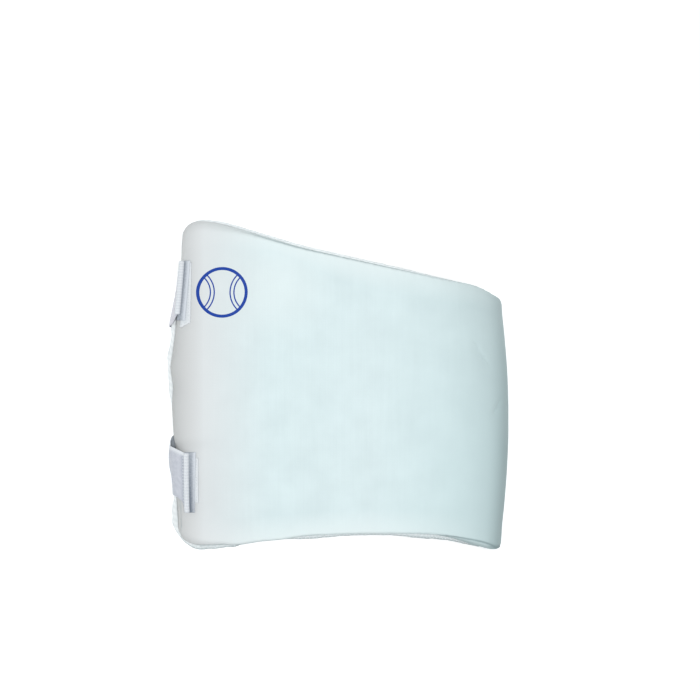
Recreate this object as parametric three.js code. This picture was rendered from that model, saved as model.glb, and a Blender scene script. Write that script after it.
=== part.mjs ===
// A padded chest guard, lying on a table with its front up.
//
// The panel is a flat pattern bent along one curve. Every place on it has three numbers:
// `along`, the distance across the chest from the open edge, `height`, the distance up the
// body, and `out`, the distance out of the body from the face where pad and lining meet.
// X runs across the chest, Y up the body and Z up off the table. All sizes are millimetres.

import * as THREE from "three";
import { LoftGeometry } from "three/addons/geometries/LoftGeometry.js";

// The bend across the chest, from the open edge to the far end. Turns are in degrees.
const START_ANGLE = 24;
const BEND = [
  { stretch: "lapel", length: 55, turn: -5 },
  { stretch: "breast", length: 130, turn: -6 },
  { stretch: "side", length: 60, turn: -28 },
  { stretch: "rib", length: 60, turn: -50 },
  { stretch: "flap", length: 24.5, turn: -25 },
];
const SPAN = BEND.reduce((sum, row) => sum + row.length, 0);

// The pad's outline in the flat: its top and bottom edge across the chest, and how wide the
// rounding is along each.
const OUTLINE = [
  { along: 0, top: 138, topRound: 14, bottom: -136.5, bottomRound: 14 },
  { along: 30, top: 135, topRound: 14, bottom: -136, bottomRound: 14 },
  { along: 60, top: 127, topRound: 13, bottom: -132.5, bottomRound: 13 },
  { along: 110, top: 112.5, topRound: 12, bottom: -127.5, bottomRound: 11 },
  { along: 165, top: 100, topRound: 11, bottom: -125.5, bottomRound: 9 },
  { along: 220, top: 89.5, topRound: 9, bottom: -128, bottomRound: 6 },
  { along: 265, top: 84, topRound: 8, bottom: -138, bottomRound: 4 },
  { along: SPAN, top: 78, topRound: 8, bottom: -152, bottomRound: 4 },
];

// How far the open edge is set in from the pattern's side, up the body.
const OPEN_EDGE = [
  { height: -136, inset: 4.5 },
  { height: -100, inset: 1.3 },
  { height: -30, inset: -0.9 },
  { height: 15, inset: -2 },
  { height: 50, inset: 1.6 },
  { height: 100, inset: 6.8 },
  { height: 138, inset: 9 },
];
const CORNER_FALLOFF = 5;
const CORNERS = { topOpen: 16, bottomOpen: 18, topFar: 10, bottomFar: 5 };

// The pad's thickness, its rounded rim and its swell.
const PAD_THICKNESS = 15;
const PAD_CROWN = 2;
const RIM_EDGE = 1.3;
const RIM_ROUND = 14;
const FAR_ROUND = 9;
const FAR_EDGE_SHARE = 0.6;
const BARREL = 7;
const BARREL_HALF_HEIGHT = 120;
const BARREL_START = 60;
const PAD_STATIONS = 42;

// The other layers.
const GAP = 0.3;
const LINING_THICKNESS = 2;
const LINING_STOP = 4;
const BINDING_RADIUS = 1.6;
const BINDING_GAP = 0.45;
const BINDING_DROP = 0.4;
const BINDING_STOP = 8;
const STRAP_THICKNESS = 1.8;
const STRAP_WIDTH = 50;
const HEM_THICKNESS = 3.2;
const HEM_LENGTH = 4.5;
const TAPE_THICKNESS = 1.2;

// One row for each strap: the middle of its end on the front and of its sewn end, how far from
// the open edge the end and its patch reach, the patch's width, and how deep it presses the pad.
const STRAPS = [
  { name: "upper", front: 76, sewn: 22, endReach: 3.5, patchReach: 12, patchWidth: 52, press: 2.5 },
  { name: "lower", front: -81, sewn: -72, endReach: 14, patchReach: 23, patchWidth: 38, press: 3 },
];
const PRESS_MARGIN = 2;
const PRESS_EDGE = 7;
const PRESS_FADE = 12;

// How a strap turns round the open edge: its outermost place there, measured square to the
// panel, and then places before and behind the edge's foot, measured off the table.
const EDGE_TURN = { distance: -4.6, out: 1.6 };
const TABLE_TURN = [
  { behind: -3.6, above: 1 },
  { behind: -0.6, above: 0 },
  { behind: 6, above: 0 },
];
const STRAP_OFF_TABLE = 0.15;

// How it rises behind the panel and bends up to its sewn end on the lining.
const STRAP_RISE = 9;
const SEWN_LENGTH = 28;
const SEWN_ABOVE_END = 30;
const SEWN_GAP = 0.6;
const SEWN_BEND = [
  { below: 14, off: 9 },
  { below: 7, off: 2 },
];

const MATERIALS = {
  cover: { color: 0xe4eef0, roughness: 0.55, metalness: 0 },
  lining: { color: 0xf1f3f2, roughness: 0.95, metalness: 0 },
  binding: { color: 0xe9f0f0, roughness: 0.8, metalness: 0 },
  elastic: { color: 0xcdd1d9, roughness: 0.85, metalness: 0 },
  loopTape: { color: 0xdde4e8, roughness: 0.95, metalness: 0 },
  hookTape: { color: 0xb7bec8, roughness: 0.7, metalness: 0 },
};

const smoothStep = (from, to, value) => THREE.MathUtils.smoothstep(value, from, to);

/** Reads a column of a table at a place between its rows, along a smooth curve. */
function readTable(rows, key, column, at) {
  const last = rows.length - 1;
  const place = THREE.MathUtils.clamp(at, rows[0][key], rows[last][key]);
  let i = 0;
  while (i < last - 1 && place > rows[i + 1][key]) {
    i += 1;
  }
  const slope = (a, b) => (rows[b][column] - rows[a][column]) / (rows[b][key] - rows[a][key]);
  const step = rows[i + 1][key] - rows[i][key];
  const startSlope = slope(Math.max(i - 1, 0), i + 1);
  const endSlope = slope(i, Math.min(i + 2, last));
  const t = (place - rows[i][key]) / step;
  const start = rows[i][column] * (1 + 2 * t) + startSlope * step * t;
  const end = rows[i + 1][column] * (3 - 2 * t) + endSlope * step * (t - 1);
  return start * (1 - t) ** 2 + end * t ** 2;
}

/** The bend's point and direction at a distance from the open edge, straight on past its ends. */
function bendAt(along) {
  const point = new THREE.Vector2();
  let angle = THREE.MathUtils.degToRad(START_ANGLE);
  let left = along;
  const goStraight = (distance) => {
    point.x += distance * Math.cos(angle);
    point.y += distance * Math.sin(angle);
  };
  if (along < 0) {
    goStraight(along);
    return { point, angle };
  }
  for (const { length, turn } of BEND) {
    const done = Math.min(left, length);
    const curve = THREE.MathUtils.degToRad(turn) / length;
    const next = angle + curve * done;
    point.x += (Math.sin(next) - Math.sin(angle)) / curve;
    point.y += (Math.cos(angle) - Math.cos(next)) / curve;
    angle = next;
    left -= done;
  }
  goStraight(left);
  return { point, angle };
}

// The table's level: the far end stands on it.
const TABLE = bendAt(SPAN).point.y;

/** How far the panel falls back from its bend towards its top and bottom, near the far end. */
function barrelAt(along, height) {
  const top = readTable(OUTLINE, "along", "top", along);
  const bottom = readTable(OUTLINE, "along", "bottom", along);
  const middle = (top + bottom) / 2;
  return BARREL * smoothStep(BARREL_START, SPAN, along) * ((height - middle) / BARREL_HALF_HEIGHT) ** 2;
}

/** The point in space of a place on the panel. */
function pointAt({ along, height }, out) {
  const { point, angle } = bendAt(along);
  const lift = out - barrelAt(along, height);
  return new THREE.Vector3(point.x - lift * Math.sin(angle), height, point.y + lift * Math.cos(angle));
}

/** How much a rounded corner takes off an edge, at a distance from the side it rounds into. */
function cornerCut(radius, distance) {
  const inside = Math.max(radius - distance, 0);
  return radius - Math.sqrt(radius ** 2 - inside ** 2);
}

/** The pattern's top and bottom at a distance from the open edge, and what its corners take off them. */
function edgesAt(distance) {
  const toFar = SPAN - distance;
  return {
    top: readTable(OUTLINE, "along", "top", distance),
    bottom: readTable(OUTLINE, "along", "bottom", distance),
    topCut: cornerCut(CORNERS.topOpen, distance) + cornerCut(CORNERS.topFar, toFar),
    bottomCut: cornerCut(CORNERS.bottomOpen, distance) + cornerCut(CORNERS.bottomFar, toFar),
  };
}

/** The place on the pattern at a distance from the open edge and a height. */
function placeAt(distance, height) {
  const { top, bottom, topCut, bottomCut } = edgesAt(distance);
  const inset = readTable(OPEN_EDGE, "height", "inset", height);
  const toTop = Math.max(top - topCut - height, 0);
  const toBottom = Math.max(height - bottom - bottomCut, 0);
  return { along: distance + inset * (1 - distance / SPAN), height, toTop, toBottom };
}

/** The place on the pattern at a distance from the open edge and a share of the way up. */
function patternAt(distance, share) {
  const { top, bottom, topCut, bottomCut } = edgesAt(distance);
  const nearTop = Math.max(2 * share - 1, 0) ** CORNER_FALLOFF;
  const nearBottom = Math.max(1 - 2 * share, 0) ** CORNER_FALLOFF;
  const height = THREE.MathUtils.lerp(bottom, top, share) - topCut * nearTop + bottomCut * nearBottom;
  return placeAt(distance, height);
}

/** A rim's height at a distance in from its edge, as a share of the full height. */
function rimShare(distance, round) {
  const inside = Math.max(1 - distance / round, 0);
  return Math.sqrt(Math.max(1 - inside ** 2, 0));
}

/** How deep the straps press into the pad. */
function pressAt(distance, height) {
  return STRAPS.reduce((sum, { front, patchReach, press }) => {
    const beside = Math.abs(height - front) - STRAP_WIDTH / 2;
    const across = 1 - smoothStep(PRESS_MARGIN, PRESS_MARGIN + PRESS_EDGE, beside);
    const fade = 1 - smoothStep(patchReach, patchReach + PRESS_FADE, distance);
    return sum + press * across * fade;
  }, 0);
}

/** How far the pad's front stands out of its back at a place on the pattern. */
function frontAt(distance, place) {
  const middle = 4 * place.toTop * place.toBottom / (place.toTop + place.toBottom) ** 2;
  const full = PAD_THICKNESS + PAD_CROWN * middle - pressAt(distance, place.height);
  const far = THREE.MathUtils.lerp(FAR_EDGE_SHARE, 1, rimShare(SPAN - distance, FAR_ROUND));
  const rim = rimShare(distance, RIM_ROUND) * far
    * rimShare(place.toTop, readTable(OUTLINE, "along", "topRound", distance))
    * rimShare(place.toBottom, readTable(OUTLINE, "along", "bottomRound", distance));
  return RIM_EDGE + (full - RIM_EDGE) * rim;
}

/** Distances from the open edge to a stop, close together at both ends. */
function stations(count, stop) {
  return Array.from({ length: count + 1 }, (_, i) => stop * (1 - Math.cos(Math.PI * i / count)) / 2);
}

/** Shares of the way up the panel: close at both rims and at the edges of each strap. */
function sharesUp() {
  const { top, bottom } = OUTLINE[0];
  const rim = [0, 0.7, 2.5, 5.5, 9.5, 15];
  const edge = STRAP_WIDTH / 2 + PRESS_MARGIN;
  const acrossStrap = [-edge - PRESS_EDGE, -edge, -edge / 2, 0, edge / 2, edge, edge + PRESS_EDGE];
  const betweenStraps = [-30, -12, 5, 22];
  const heights = [
    ...rim.map((inside) => bottom + inside),
    ...STRAPS.flatMap(({ front }) => acrossStrap.map((side) => front + side)),
    ...betweenStraps,
    ...rim.map((inside) => top - inside),
  ];
  return heights.sort((a, b) => a - b).map((height) => (height - bottom) / (top - bottom));
}

/** A layer of the panel between a back and a front face, each a function of the place. */
function layerGeometry(distances, shares, back, front) {
  const sections = distances.map((distance) => {
    const places = shares.map((share) => patternAt(distance, share));
    const inner = places.map((place) => pointAt(place, back(distance, place)));
    const outer = places.map((place) => pointAt(place, front(distance, place)));
    return [...inner, ...outer.reverse()];
  });
  return new LoftGeometry(sections, { capStart: true, capEnd: true });
}

function padGeometry() {
  return layerGeometry(stations(PAD_STATIONS, SPAN), sharesUp(), () => GAP / 2, frontAt);
}

function liningGeometry() {
  const shares = stations(14, 1);
  return layerGeometry(stations(36, SPAN - LINING_STOP), shares, () => -LINING_THICKNESS, () => -GAP / 2);
}

/** The pattern's rim from the far bottom corner, round the open edge, to the far top corner. */
function rimPlaces() {
  const across = stations(PAD_STATIONS, SPAN).filter((distance) => distance < SPAN - BINDING_STOP);
  const up = sharesUp().slice(1, -1);
  return [
    ...across.map((distance) => patternAt(distance, 0)).reverse(),
    ...up.map((share) => patternAt(0, share)),
    ...across.map((distance) => patternAt(distance, 1)),
  ];
}

function bindingGeometry() {
  const sides = 8;
  const places = rimPlaces();
  const sections = places.map((place, i) => {
    const before = places[Math.max(i - 1, 0)];
    const after = places[Math.min(i + 1, places.length - 1)];
    const outward = new THREE.Vector2(before.height - after.height, after.along - before.along).normalize();
    return Array.from({ length: sides }, (_, side) => {
      const turn = 2 * Math.PI * side / sides;
      const reach = BINDING_GAP + BINDING_RADIUS * (1 + Math.cos(turn));
      const along = place.along + outward.x * reach;
      const height = place.height + outward.y * reach;
      return pointAt({ along, height }, BINDING_RADIUS * Math.sin(turn) - BINDING_DROP);
    });
  });
  return new LoftGeometry(sections, { capStart: true, capEnd: true });
}

/** The open edge's own axes at a height: its foot in the XZ plane and the two directions there. */
function openEdgeAt(height) {
  const inset = readTable(OPEN_EDGE, "height", "inset", height);
  const { point, angle } = bendAt(inset);
  return { foot: point, angle };
}

/** A point in the XZ plane, from a distance and an outward height at the open edge. */
function edgePoint(height, distance, out) {
  const { foot, angle } = openEdgeAt(height);
  return new THREE.Vector2(
    foot.x + distance * Math.cos(angle) - out * Math.sin(angle),
    foot.y + distance * Math.sin(angle) + out * Math.cos(angle),
  );
}

/** A point in the XZ plane over the pad's front near the open edge, lifted square to the front. */
function overFront(height, distance, lift) {
  const front = (at) => frontAt(at, placeAt(at, height));
  const step = 0.05;
  const rise = new THREE.Vector2(2 * step, front(distance + step) - front(Math.max(distance - step, 0)));
  rise.normalize();
  return edgePoint(height, distance - rise.y * lift, front(distance) + rise.x * lift);
}

const STRAP_LIFT = 3 * GAP + 2 * TAPE_THICKNESS + STRAP_THICKNESS / 2;

/** One lengthwise line of a strap, from its end on the front to its sewn end, and its drift up the body. */
function strapLine(strap, edge) {
  const height = strap.front + edge;
  const drift = strap.sewn - strap.front;
  const floor = TABLE + STRAP_OFF_TABLE + STRAP_THICKNESS / 2;
  const { foot } = openEdgeAt(height);
  const wall = (above, off = 0) => {
    const place = { along: SPAN - above, height: strap.sewn + edge };
    const point = pointAt(place, -LINING_THICKNESS - SEWN_GAP - STRAP_THICKNESS / 2 - off);
    return new THREE.Vector2(point.x, point.z);
  };
  const onFront = [1, 0.7, 0.4, 0.15].map((share) => overFront(height, strap.endReach * share, STRAP_LIFT));
  const roundEdge = [
    edgePoint(height, EDGE_TURN.distance, EDGE_TURN.out),
    ...TABLE_TURN.map(({ behind, above }) => new THREE.Vector2(foot.x + behind, floor + above)),
  ];
  const sewnFoot = wall(SEWN_ABOVE_END);
  const behindPanel = [0.1, 0.35, 0.6, 0.85].map((share) => new THREE.Vector2(
    THREE.MathUtils.lerp(foot.x, sewnFoot.x, share),
    floor + STRAP_RISE * share ** 2,
  ));
  const sewnBend = SEWN_BEND.map(({ below, off }) => wall(SEWN_ABOVE_END - below, off));
  const sewn = [0, 0.33, 0.67, 1].map((share) => wall(SEWN_ABOVE_END + SEWN_LENGTH * share));
  const flat = [...onFront, ...roundEdge, ...behindPanel, ...sewnBend, ...sewn];
  const points = flat.map(({ x, y }) => new THREE.Vector3(x, 0, y));
  const curve = new THREE.CatmullRomCurve3(points, false, "centripetal");
  const driftAt = (x) => height + drift * THREE.MathUtils.clamp((x - foot.x) / (sewnFoot.x - foot.x), 0, 1);
  return { curve, driftAt };
}

/** A band that follows a strap's lines, between two heights over their middle, for part of their length. */
function bandGeometry(strap, { width, steps, inner, outer }) {
  const edges = [-1, -0.5, 0, 0.5, 1].map((side) => side * width / 2);
  const lines = edges.map((edge) => strapLine(strap, edge));
  const length = strapLine(strap, 0).curve.getLength();
  const sections = steps.map((step) => {
    const face = (lift) => lines.map(({ curve, driftAt }) => {
      const at = curve.getPointAt(step / length);
      const way = curve.getTangentAt(step / length);
      return new THREE.Vector3(at.x + way.z * lift, driftAt(at.x), at.z - way.x * lift);
    });
    return [...face(outer(step)), ...face(inner(step)).reverse()];
  });
  return new LoftGeometry(sections, { capStart: true, capEnd: true });
}

/** Distances along a strap: close at the hem and round the open edge, wide behind the panel. */
function strapSteps(strap) {
  const length = strapLine(strap, 0).curve.getLength();
  const turn = 3 * RIM_ROUND;
  const tail = SEWN_LENGTH + 2 * SEWN_BEND[0].below;
  const near = Array.from({ length: 30 }, (_, i) => turn * i / 30);
  const middle = Array.from({ length: 10 }, (_, i) => THREE.MathUtils.lerp(turn, length - tail, i / 10));
  const far = Array.from({ length: 13 }, (_, i) => length - tail + tail * i / 12);
  return [...near, ...middle, ...far];
}

function strapGeometry(strap) {
  const half = STRAP_THICKNESS / 2;
  const hem = (step) => HEM_THICKNESS * (1 - smoothStep(HEM_LENGTH - 1, HEM_LENGTH + 1, step));
  return bandGeometry(strap, {
    width: STRAP_WIDTH,
    steps: strapSteps(strap),
    inner: () => -half,
    outer: (step) => Math.max(half, hem(step) - half),
  });
}

function hookGeometry(strap) {
  const top = -STRAP_THICKNESS / 2 - GAP;
  const length = Math.max(strap.endReach - 2, 4);
  return bandGeometry(strap, {
    width: Math.min(strap.patchWidth, STRAP_WIDTH) - 4,
    steps: Array.from({ length: 6 }, (_, i) => 0.6 + length * i / 5),
    inner: () => top - TAPE_THICKNESS,
    outer: () => top,
  });
}

function patchGeometry({ front, patchReach, patchWidth }) {
  const edges = [-1, -0.5, 0, 0.5, 1].map((side) => front + side * patchWidth / 2);
  const distances = Array.from({ length: 10 }, (_, i) => patchReach - (patchReach - 1) * i / 9);
  const sections = distances.map((distance) => {
    const face = (lift) => edges.map((height) => {
      const { x, y } = overFront(height, distance, lift);
      return new THREE.Vector3(x, height, y);
    });
    return [...face(GAP + TAPE_THICKNESS), ...face(GAP).reverse()];
  });
  return new LoftGeometry(sections, { capStart: true, capEnd: true });
}

function addPiece(group, name, geometry, finish) {
  const material = new THREE.MeshStandardMaterial({ name: finish, ...MATERIALS[finish] });
  const mesh = new THREE.Mesh(geometry, material);
  mesh.name = name;
  group.add(mesh);
}

function chestGuard() {
  const group = new THREE.Group();
  group.name = "chest_guard";
  addPiece(group, "front_pad", padGeometry(), "cover");
  addPiece(group, "back_lining", liningGeometry(), "lining");
  addPiece(group, "edge_binding", bindingGeometry(), "binding");
  for (const strap of STRAPS) {
    addPiece(group, `${strap.name}_strap`, strapGeometry(strap), "elastic");
    addPiece(group, `${strap.name}_patch`, patchGeometry(strap), "loopTape");
    addPiece(group, `${strap.name}_hook`, hookGeometry(strap), "hookTape");
  }
  const box = new THREE.Box3().setFromObject(group);
  const middle = box.getCenter(new THREE.Vector3());
  group.position.set(-middle.x, -middle.y, -TABLE);
  return group;
}

export default chestGuard();
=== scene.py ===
"""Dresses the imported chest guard: a padded cover, its lining, a rolled edge, elastic straps and tapes.

The guard lies on a table with its front up. Its panel is a flat pattern bent along one curve, so a place
on it has three numbers: `along`, across the chest from the open edge, `height`, up the body, and `out`,
away from the body. Sizes are millimetres, and finished points are metres in the frame.
"""

import logging
import math
from dataclasses import dataclass
from enum import Enum
from functools import cached_property, partial
from typing import Callable, NamedTuple, Sequence

import bpy
import numpy as np
from mathutils import Matrix, Vector


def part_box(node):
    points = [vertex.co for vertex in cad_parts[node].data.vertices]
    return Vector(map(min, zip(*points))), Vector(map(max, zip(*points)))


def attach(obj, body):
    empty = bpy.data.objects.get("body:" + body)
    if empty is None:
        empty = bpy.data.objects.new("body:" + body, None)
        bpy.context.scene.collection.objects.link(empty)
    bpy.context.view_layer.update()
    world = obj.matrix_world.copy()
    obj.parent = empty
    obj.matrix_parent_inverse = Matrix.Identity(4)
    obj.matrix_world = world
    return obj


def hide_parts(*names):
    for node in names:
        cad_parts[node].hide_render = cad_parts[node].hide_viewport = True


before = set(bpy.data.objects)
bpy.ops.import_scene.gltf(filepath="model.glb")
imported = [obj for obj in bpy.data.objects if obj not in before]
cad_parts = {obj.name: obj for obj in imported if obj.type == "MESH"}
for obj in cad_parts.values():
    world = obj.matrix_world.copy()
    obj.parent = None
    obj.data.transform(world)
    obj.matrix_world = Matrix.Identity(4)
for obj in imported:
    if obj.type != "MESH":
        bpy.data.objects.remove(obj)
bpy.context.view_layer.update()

Array = np.ndarray
Mesh = bpy.types.Mesh
NodeMaker = Callable[..., bpy.types.NodeSocket]
Pair = tuple[float, float]
Piece = bpy.types.Object
Socket = bpy.types.NodeSocket
Tree = bpy.types.NodeTree

MM = 0.001
BODY = "root"
UV_NAME = "pattern"
EDGE_NAME = "edge"
FRONT_NAME = "front"
# The attribute that carries painted shade: along the cover's seam groove and edges, and on the edge tape
# where it faces down.
PAINTED_SHADE_NAME = "seam"
# How far points are lifted off the cloth, to show its stitches the way off it.
OFF_CLOTH = 1.0

log = logging.getLogger("chest_guard")


class Slot(Enum):
    """The material slots."""

    COVER = "cover"
    LINING = "lining"
    BINDING = "binding"
    ELASTIC = "elastic"
    LOOP_TAPE = "loop_tape"
    HOOK_TAPE = "hook_tape"


class BendRow(NamedTuple):
    """One stretch of the bend across the chest: its length, and its turn in degrees."""

    length: float
    turn: float


class OutlineRow(NamedTuple):
    """The pattern's top and bottom at one place across the chest, and how wide their rims are rounded."""

    along: float
    top: float
    top_round: float
    bottom: float
    bottom_round: float


class EdgeRow(NamedTuple):
    """How far the open edge is set in at one height."""

    height: float
    inset: float


class RimRow(NamedTuple):
    """How far the cover, and the edge tape beyond it, reach past the pattern at a place on its rim."""

    place: float
    cover: float
    tape: float


class EdgePair(NamedTuple):
    """A size at the upper edge of a strap or patch, and at its lower edge."""

    upper: float
    lower: float

    def at(self, share: Array) -> Array:
        """The size at a share of the way up."""
        return self.lower + (self.upper - self.lower) * share


class StrapCut(NamedTuple):
    """One strap: the middle of its two ends up the body, its reach on the front, and its patch.

    The strap leans up or down the body as it rounds the open edge, and settles on the line of its sewn end.
    """

    name: str
    front: float
    sewn: float
    end_width: float
    end_reach: EdgePair
    fold_reach: EdgePair
    fold_bulge: float
    lean: EdgePair
    neck: EdgePair
    settle_start: float
    settle_stop: float
    patch_middle: float
    patch_width: float
    patch_start: EdgePair
    patch_reach: EdgePair
    patch_slant: float
    hook_reach: EdgePair
    hook_drop: float
    # How far the hook tape's painted shadow is moved towards its lighter top.
    hook_shadow_offset: float
    press: float


class Crease(NamedTuple):
    """A soft crease in the cover, between two places given as along and height."""

    start: Pair
    stop: Pair
    depth: float
    width: float


UPPER = StrapCut(
    "upper",
    front=81,
    sewn=22,
    end_width=45,
    end_reach=EdgePair(6.2, 7.2),
    fold_reach=EdgePair(3.4, 7.7),
    fold_bulge=-0.2,
    lean=EdgePair(-10, -7),
    neck=EdgePair(0, 0),
    settle_start=0,
    settle_stop=230,
    patch_middle=77,
    patch_width=50.5,
    patch_start=EdgePair(1.0, 6.5),
    patch_reach=EdgePair(9.6, 14.5),
    patch_slant=0.55,
    hook_reach=EdgePair(3.0, 3.0),
    hook_drop=4.5,
    hook_shadow_offset=40,
    press=2.5,
)
LOWER = StrapCut(
    "lower",
    front=-82.6,
    sewn=-69.5,
    end_width=50,
    end_reach=EdgePair(16.1, 14.6),
    fold_reach=EdgePair(4.1, -2.9),
    fold_bulge=4.0,
    lean=EdgePair(4.8, 13.5),
    neck=EdgePair(0, 0.5),
    settle_start=8,
    settle_stop=13.5,
    patch_middle=-81,
    patch_width=38,
    patch_start=EdgePair(1.0, 9.0),
    patch_reach=EdgePair(23.0, 21.5),
    patch_slant=0,
    hook_reach=EdgePair(5.1, 3.6),
    hook_drop=0,
    hook_shadow_offset=0,
    press=3,
)


def smooth_step(start: float, stop: float, value: Array) -> Array:
    """Rises smoothly from 0 at start to 1 at stop."""
    share = np.clip((value - start) / (stop - start), 0.0, 1.0)
    return share * share * (3.0 - 2.0 * share)


def at_least(low: float, share: Array) -> Array:
    """A share that starts at a low value instead of 0 and still ends at 1."""
    return low + (1 - low) * share


def hermite(start: Array, leave: Array, end: Array, arrive: Array, t: Array) -> Array:
    """The curve from a start to an end that leaves and arrives at given slopes, at shares t of its way."""
    first = start * (1 + 2 * t) + leave * t
    last = end * (3 - 2 * t) + arrive * (t - 1)
    return first * (1 - t) ** 2 + last * t**2


def read_table(rows: Sequence[NamedTuple], column: str, at: Array) -> Array:
    """Reads a column of a table between its rows, along a smooth curve.

    Args:
        rows: The table, in the order of its first column.
        column: The column to read.
        at: Where to read it, as values of the first column.

    Returns:
        The column's values there.
    """
    keys = np.array([row[0] for row in rows], float)
    values = np.array([getattr(row, column) for row in rows], float)
    place = np.clip(at, keys[0], keys[-1])
    i = np.clip(np.searchsorted(keys, place) - 1, 0, len(keys) - 2)
    before = np.maximum(i - 1, 0)
    after = np.minimum(i + 2, len(keys) - 1)
    step = keys[i + 1] - keys[i]
    leave = (values[i + 1] - values[before]) / (keys[i + 1] - keys[before]) * step
    arrive = (values[after] - values[i]) / (keys[after] - keys[i]) * step
    return hermite(values[i], leave, values[i + 1], arrive, (place - keys[i]) / step)


def ripple(place: Array, wavelength: float, seed: float) -> Array:
    """A wavering value between about -1 and 1, with no plain repeat."""
    turn = 2 * math.pi * place / wavelength
    slow = 0.2 * np.sin(0.57 * turn - seed)
    return 0.5 * np.sin(turn + seed) + 0.3 * np.sin(1.73 * turn + 2.1 * seed) + slow


def smooth_curve(points: Array, per_span: int = 24) -> Array:
    """Draws a centripetal curve through points.

    Args:
        points: The points it passes through, a row each.
        per_span: How many samples lie between two of them.

    Returns:
        The samples, a row each.
    """
    ends = [2 * points[0] - points[1], *points, 2 * points[-1] - points[-2]]
    samples = []
    for p0, p1, p2, p3 in zip(ends, ends[1:], ends[2:], ends[3:]):
        d0, d1, d2 = (math.sqrt(np.linalg.norm(b - a)) for a, b in ((p0, p1), (p1, p2), (p2, p3)))
        leave = d1 * ((p1 - p0) / d0 - (p2 - p0) / (d0 + d1) + (p2 - p1) / d1)
        arrive = d1 * ((p2 - p1) / d1 - (p3 - p1) / (d1 + d2) + (p3 - p2) / d2)
        t = np.arange(per_span)[:, None] / per_span
        samples.append(hermite(p1, leave, p2, arrive, t))
    return np.vstack([*samples, points[-1:]])


def distances_along(line: Array) -> Array:
    """How far along a line each of its points lies."""
    steps = np.linalg.norm(np.diff(line, axis=0), axis=1)
    return np.concatenate([[0.0], np.cumsum(steps)])


def evenly(line: Array, count: int) -> Array:
    """Resamples a line at even steps of its own length."""
    travelled = distances_along(line)
    wanted = np.linspace(0.0, travelled[-1], count)
    return np.stack([np.interp(wanted, travelled, axis) for axis in line.T], axis=1)


def line_length(line: Array) -> float:
    """The length of a line of points."""
    return float(np.linalg.norm(np.diff(line, axis=0), axis=1).sum())


def unit(vectors: Array) -> Array:
    """Vectors brought to a length of 1."""
    return vectors / np.linalg.norm(vectors, axis=-1, keepdims=True)


def sheet_normals(points: Array) -> Array:
    """The unit normals of a grid of points, towards columns crossed with rows."""
    across = np.gradient(points, axis=1)
    up = np.gradient(points, axis=0)
    normal = np.cross(across, up)
    return normal / np.maximum(np.linalg.norm(normal, axis=2, keepdims=True), 1e-9)


@dataclass(frozen=True)
class Places:
    """Places on the pattern, as grids of equal shape."""

    distance: Array
    along: Array
    height: Array
    to_top: Array
    to_bottom: Array

    @property
    def uv(self) -> Array:
        """Their along and height."""
        return np.stack([self.along, self.height], axis=-1)

    @property
    def inside(self) -> Array:
        """How far each place lies in from the top, the bottom and the open edge."""
        return np.minimum(np.minimum(self.to_top, self.to_bottom), self.distance)


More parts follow.
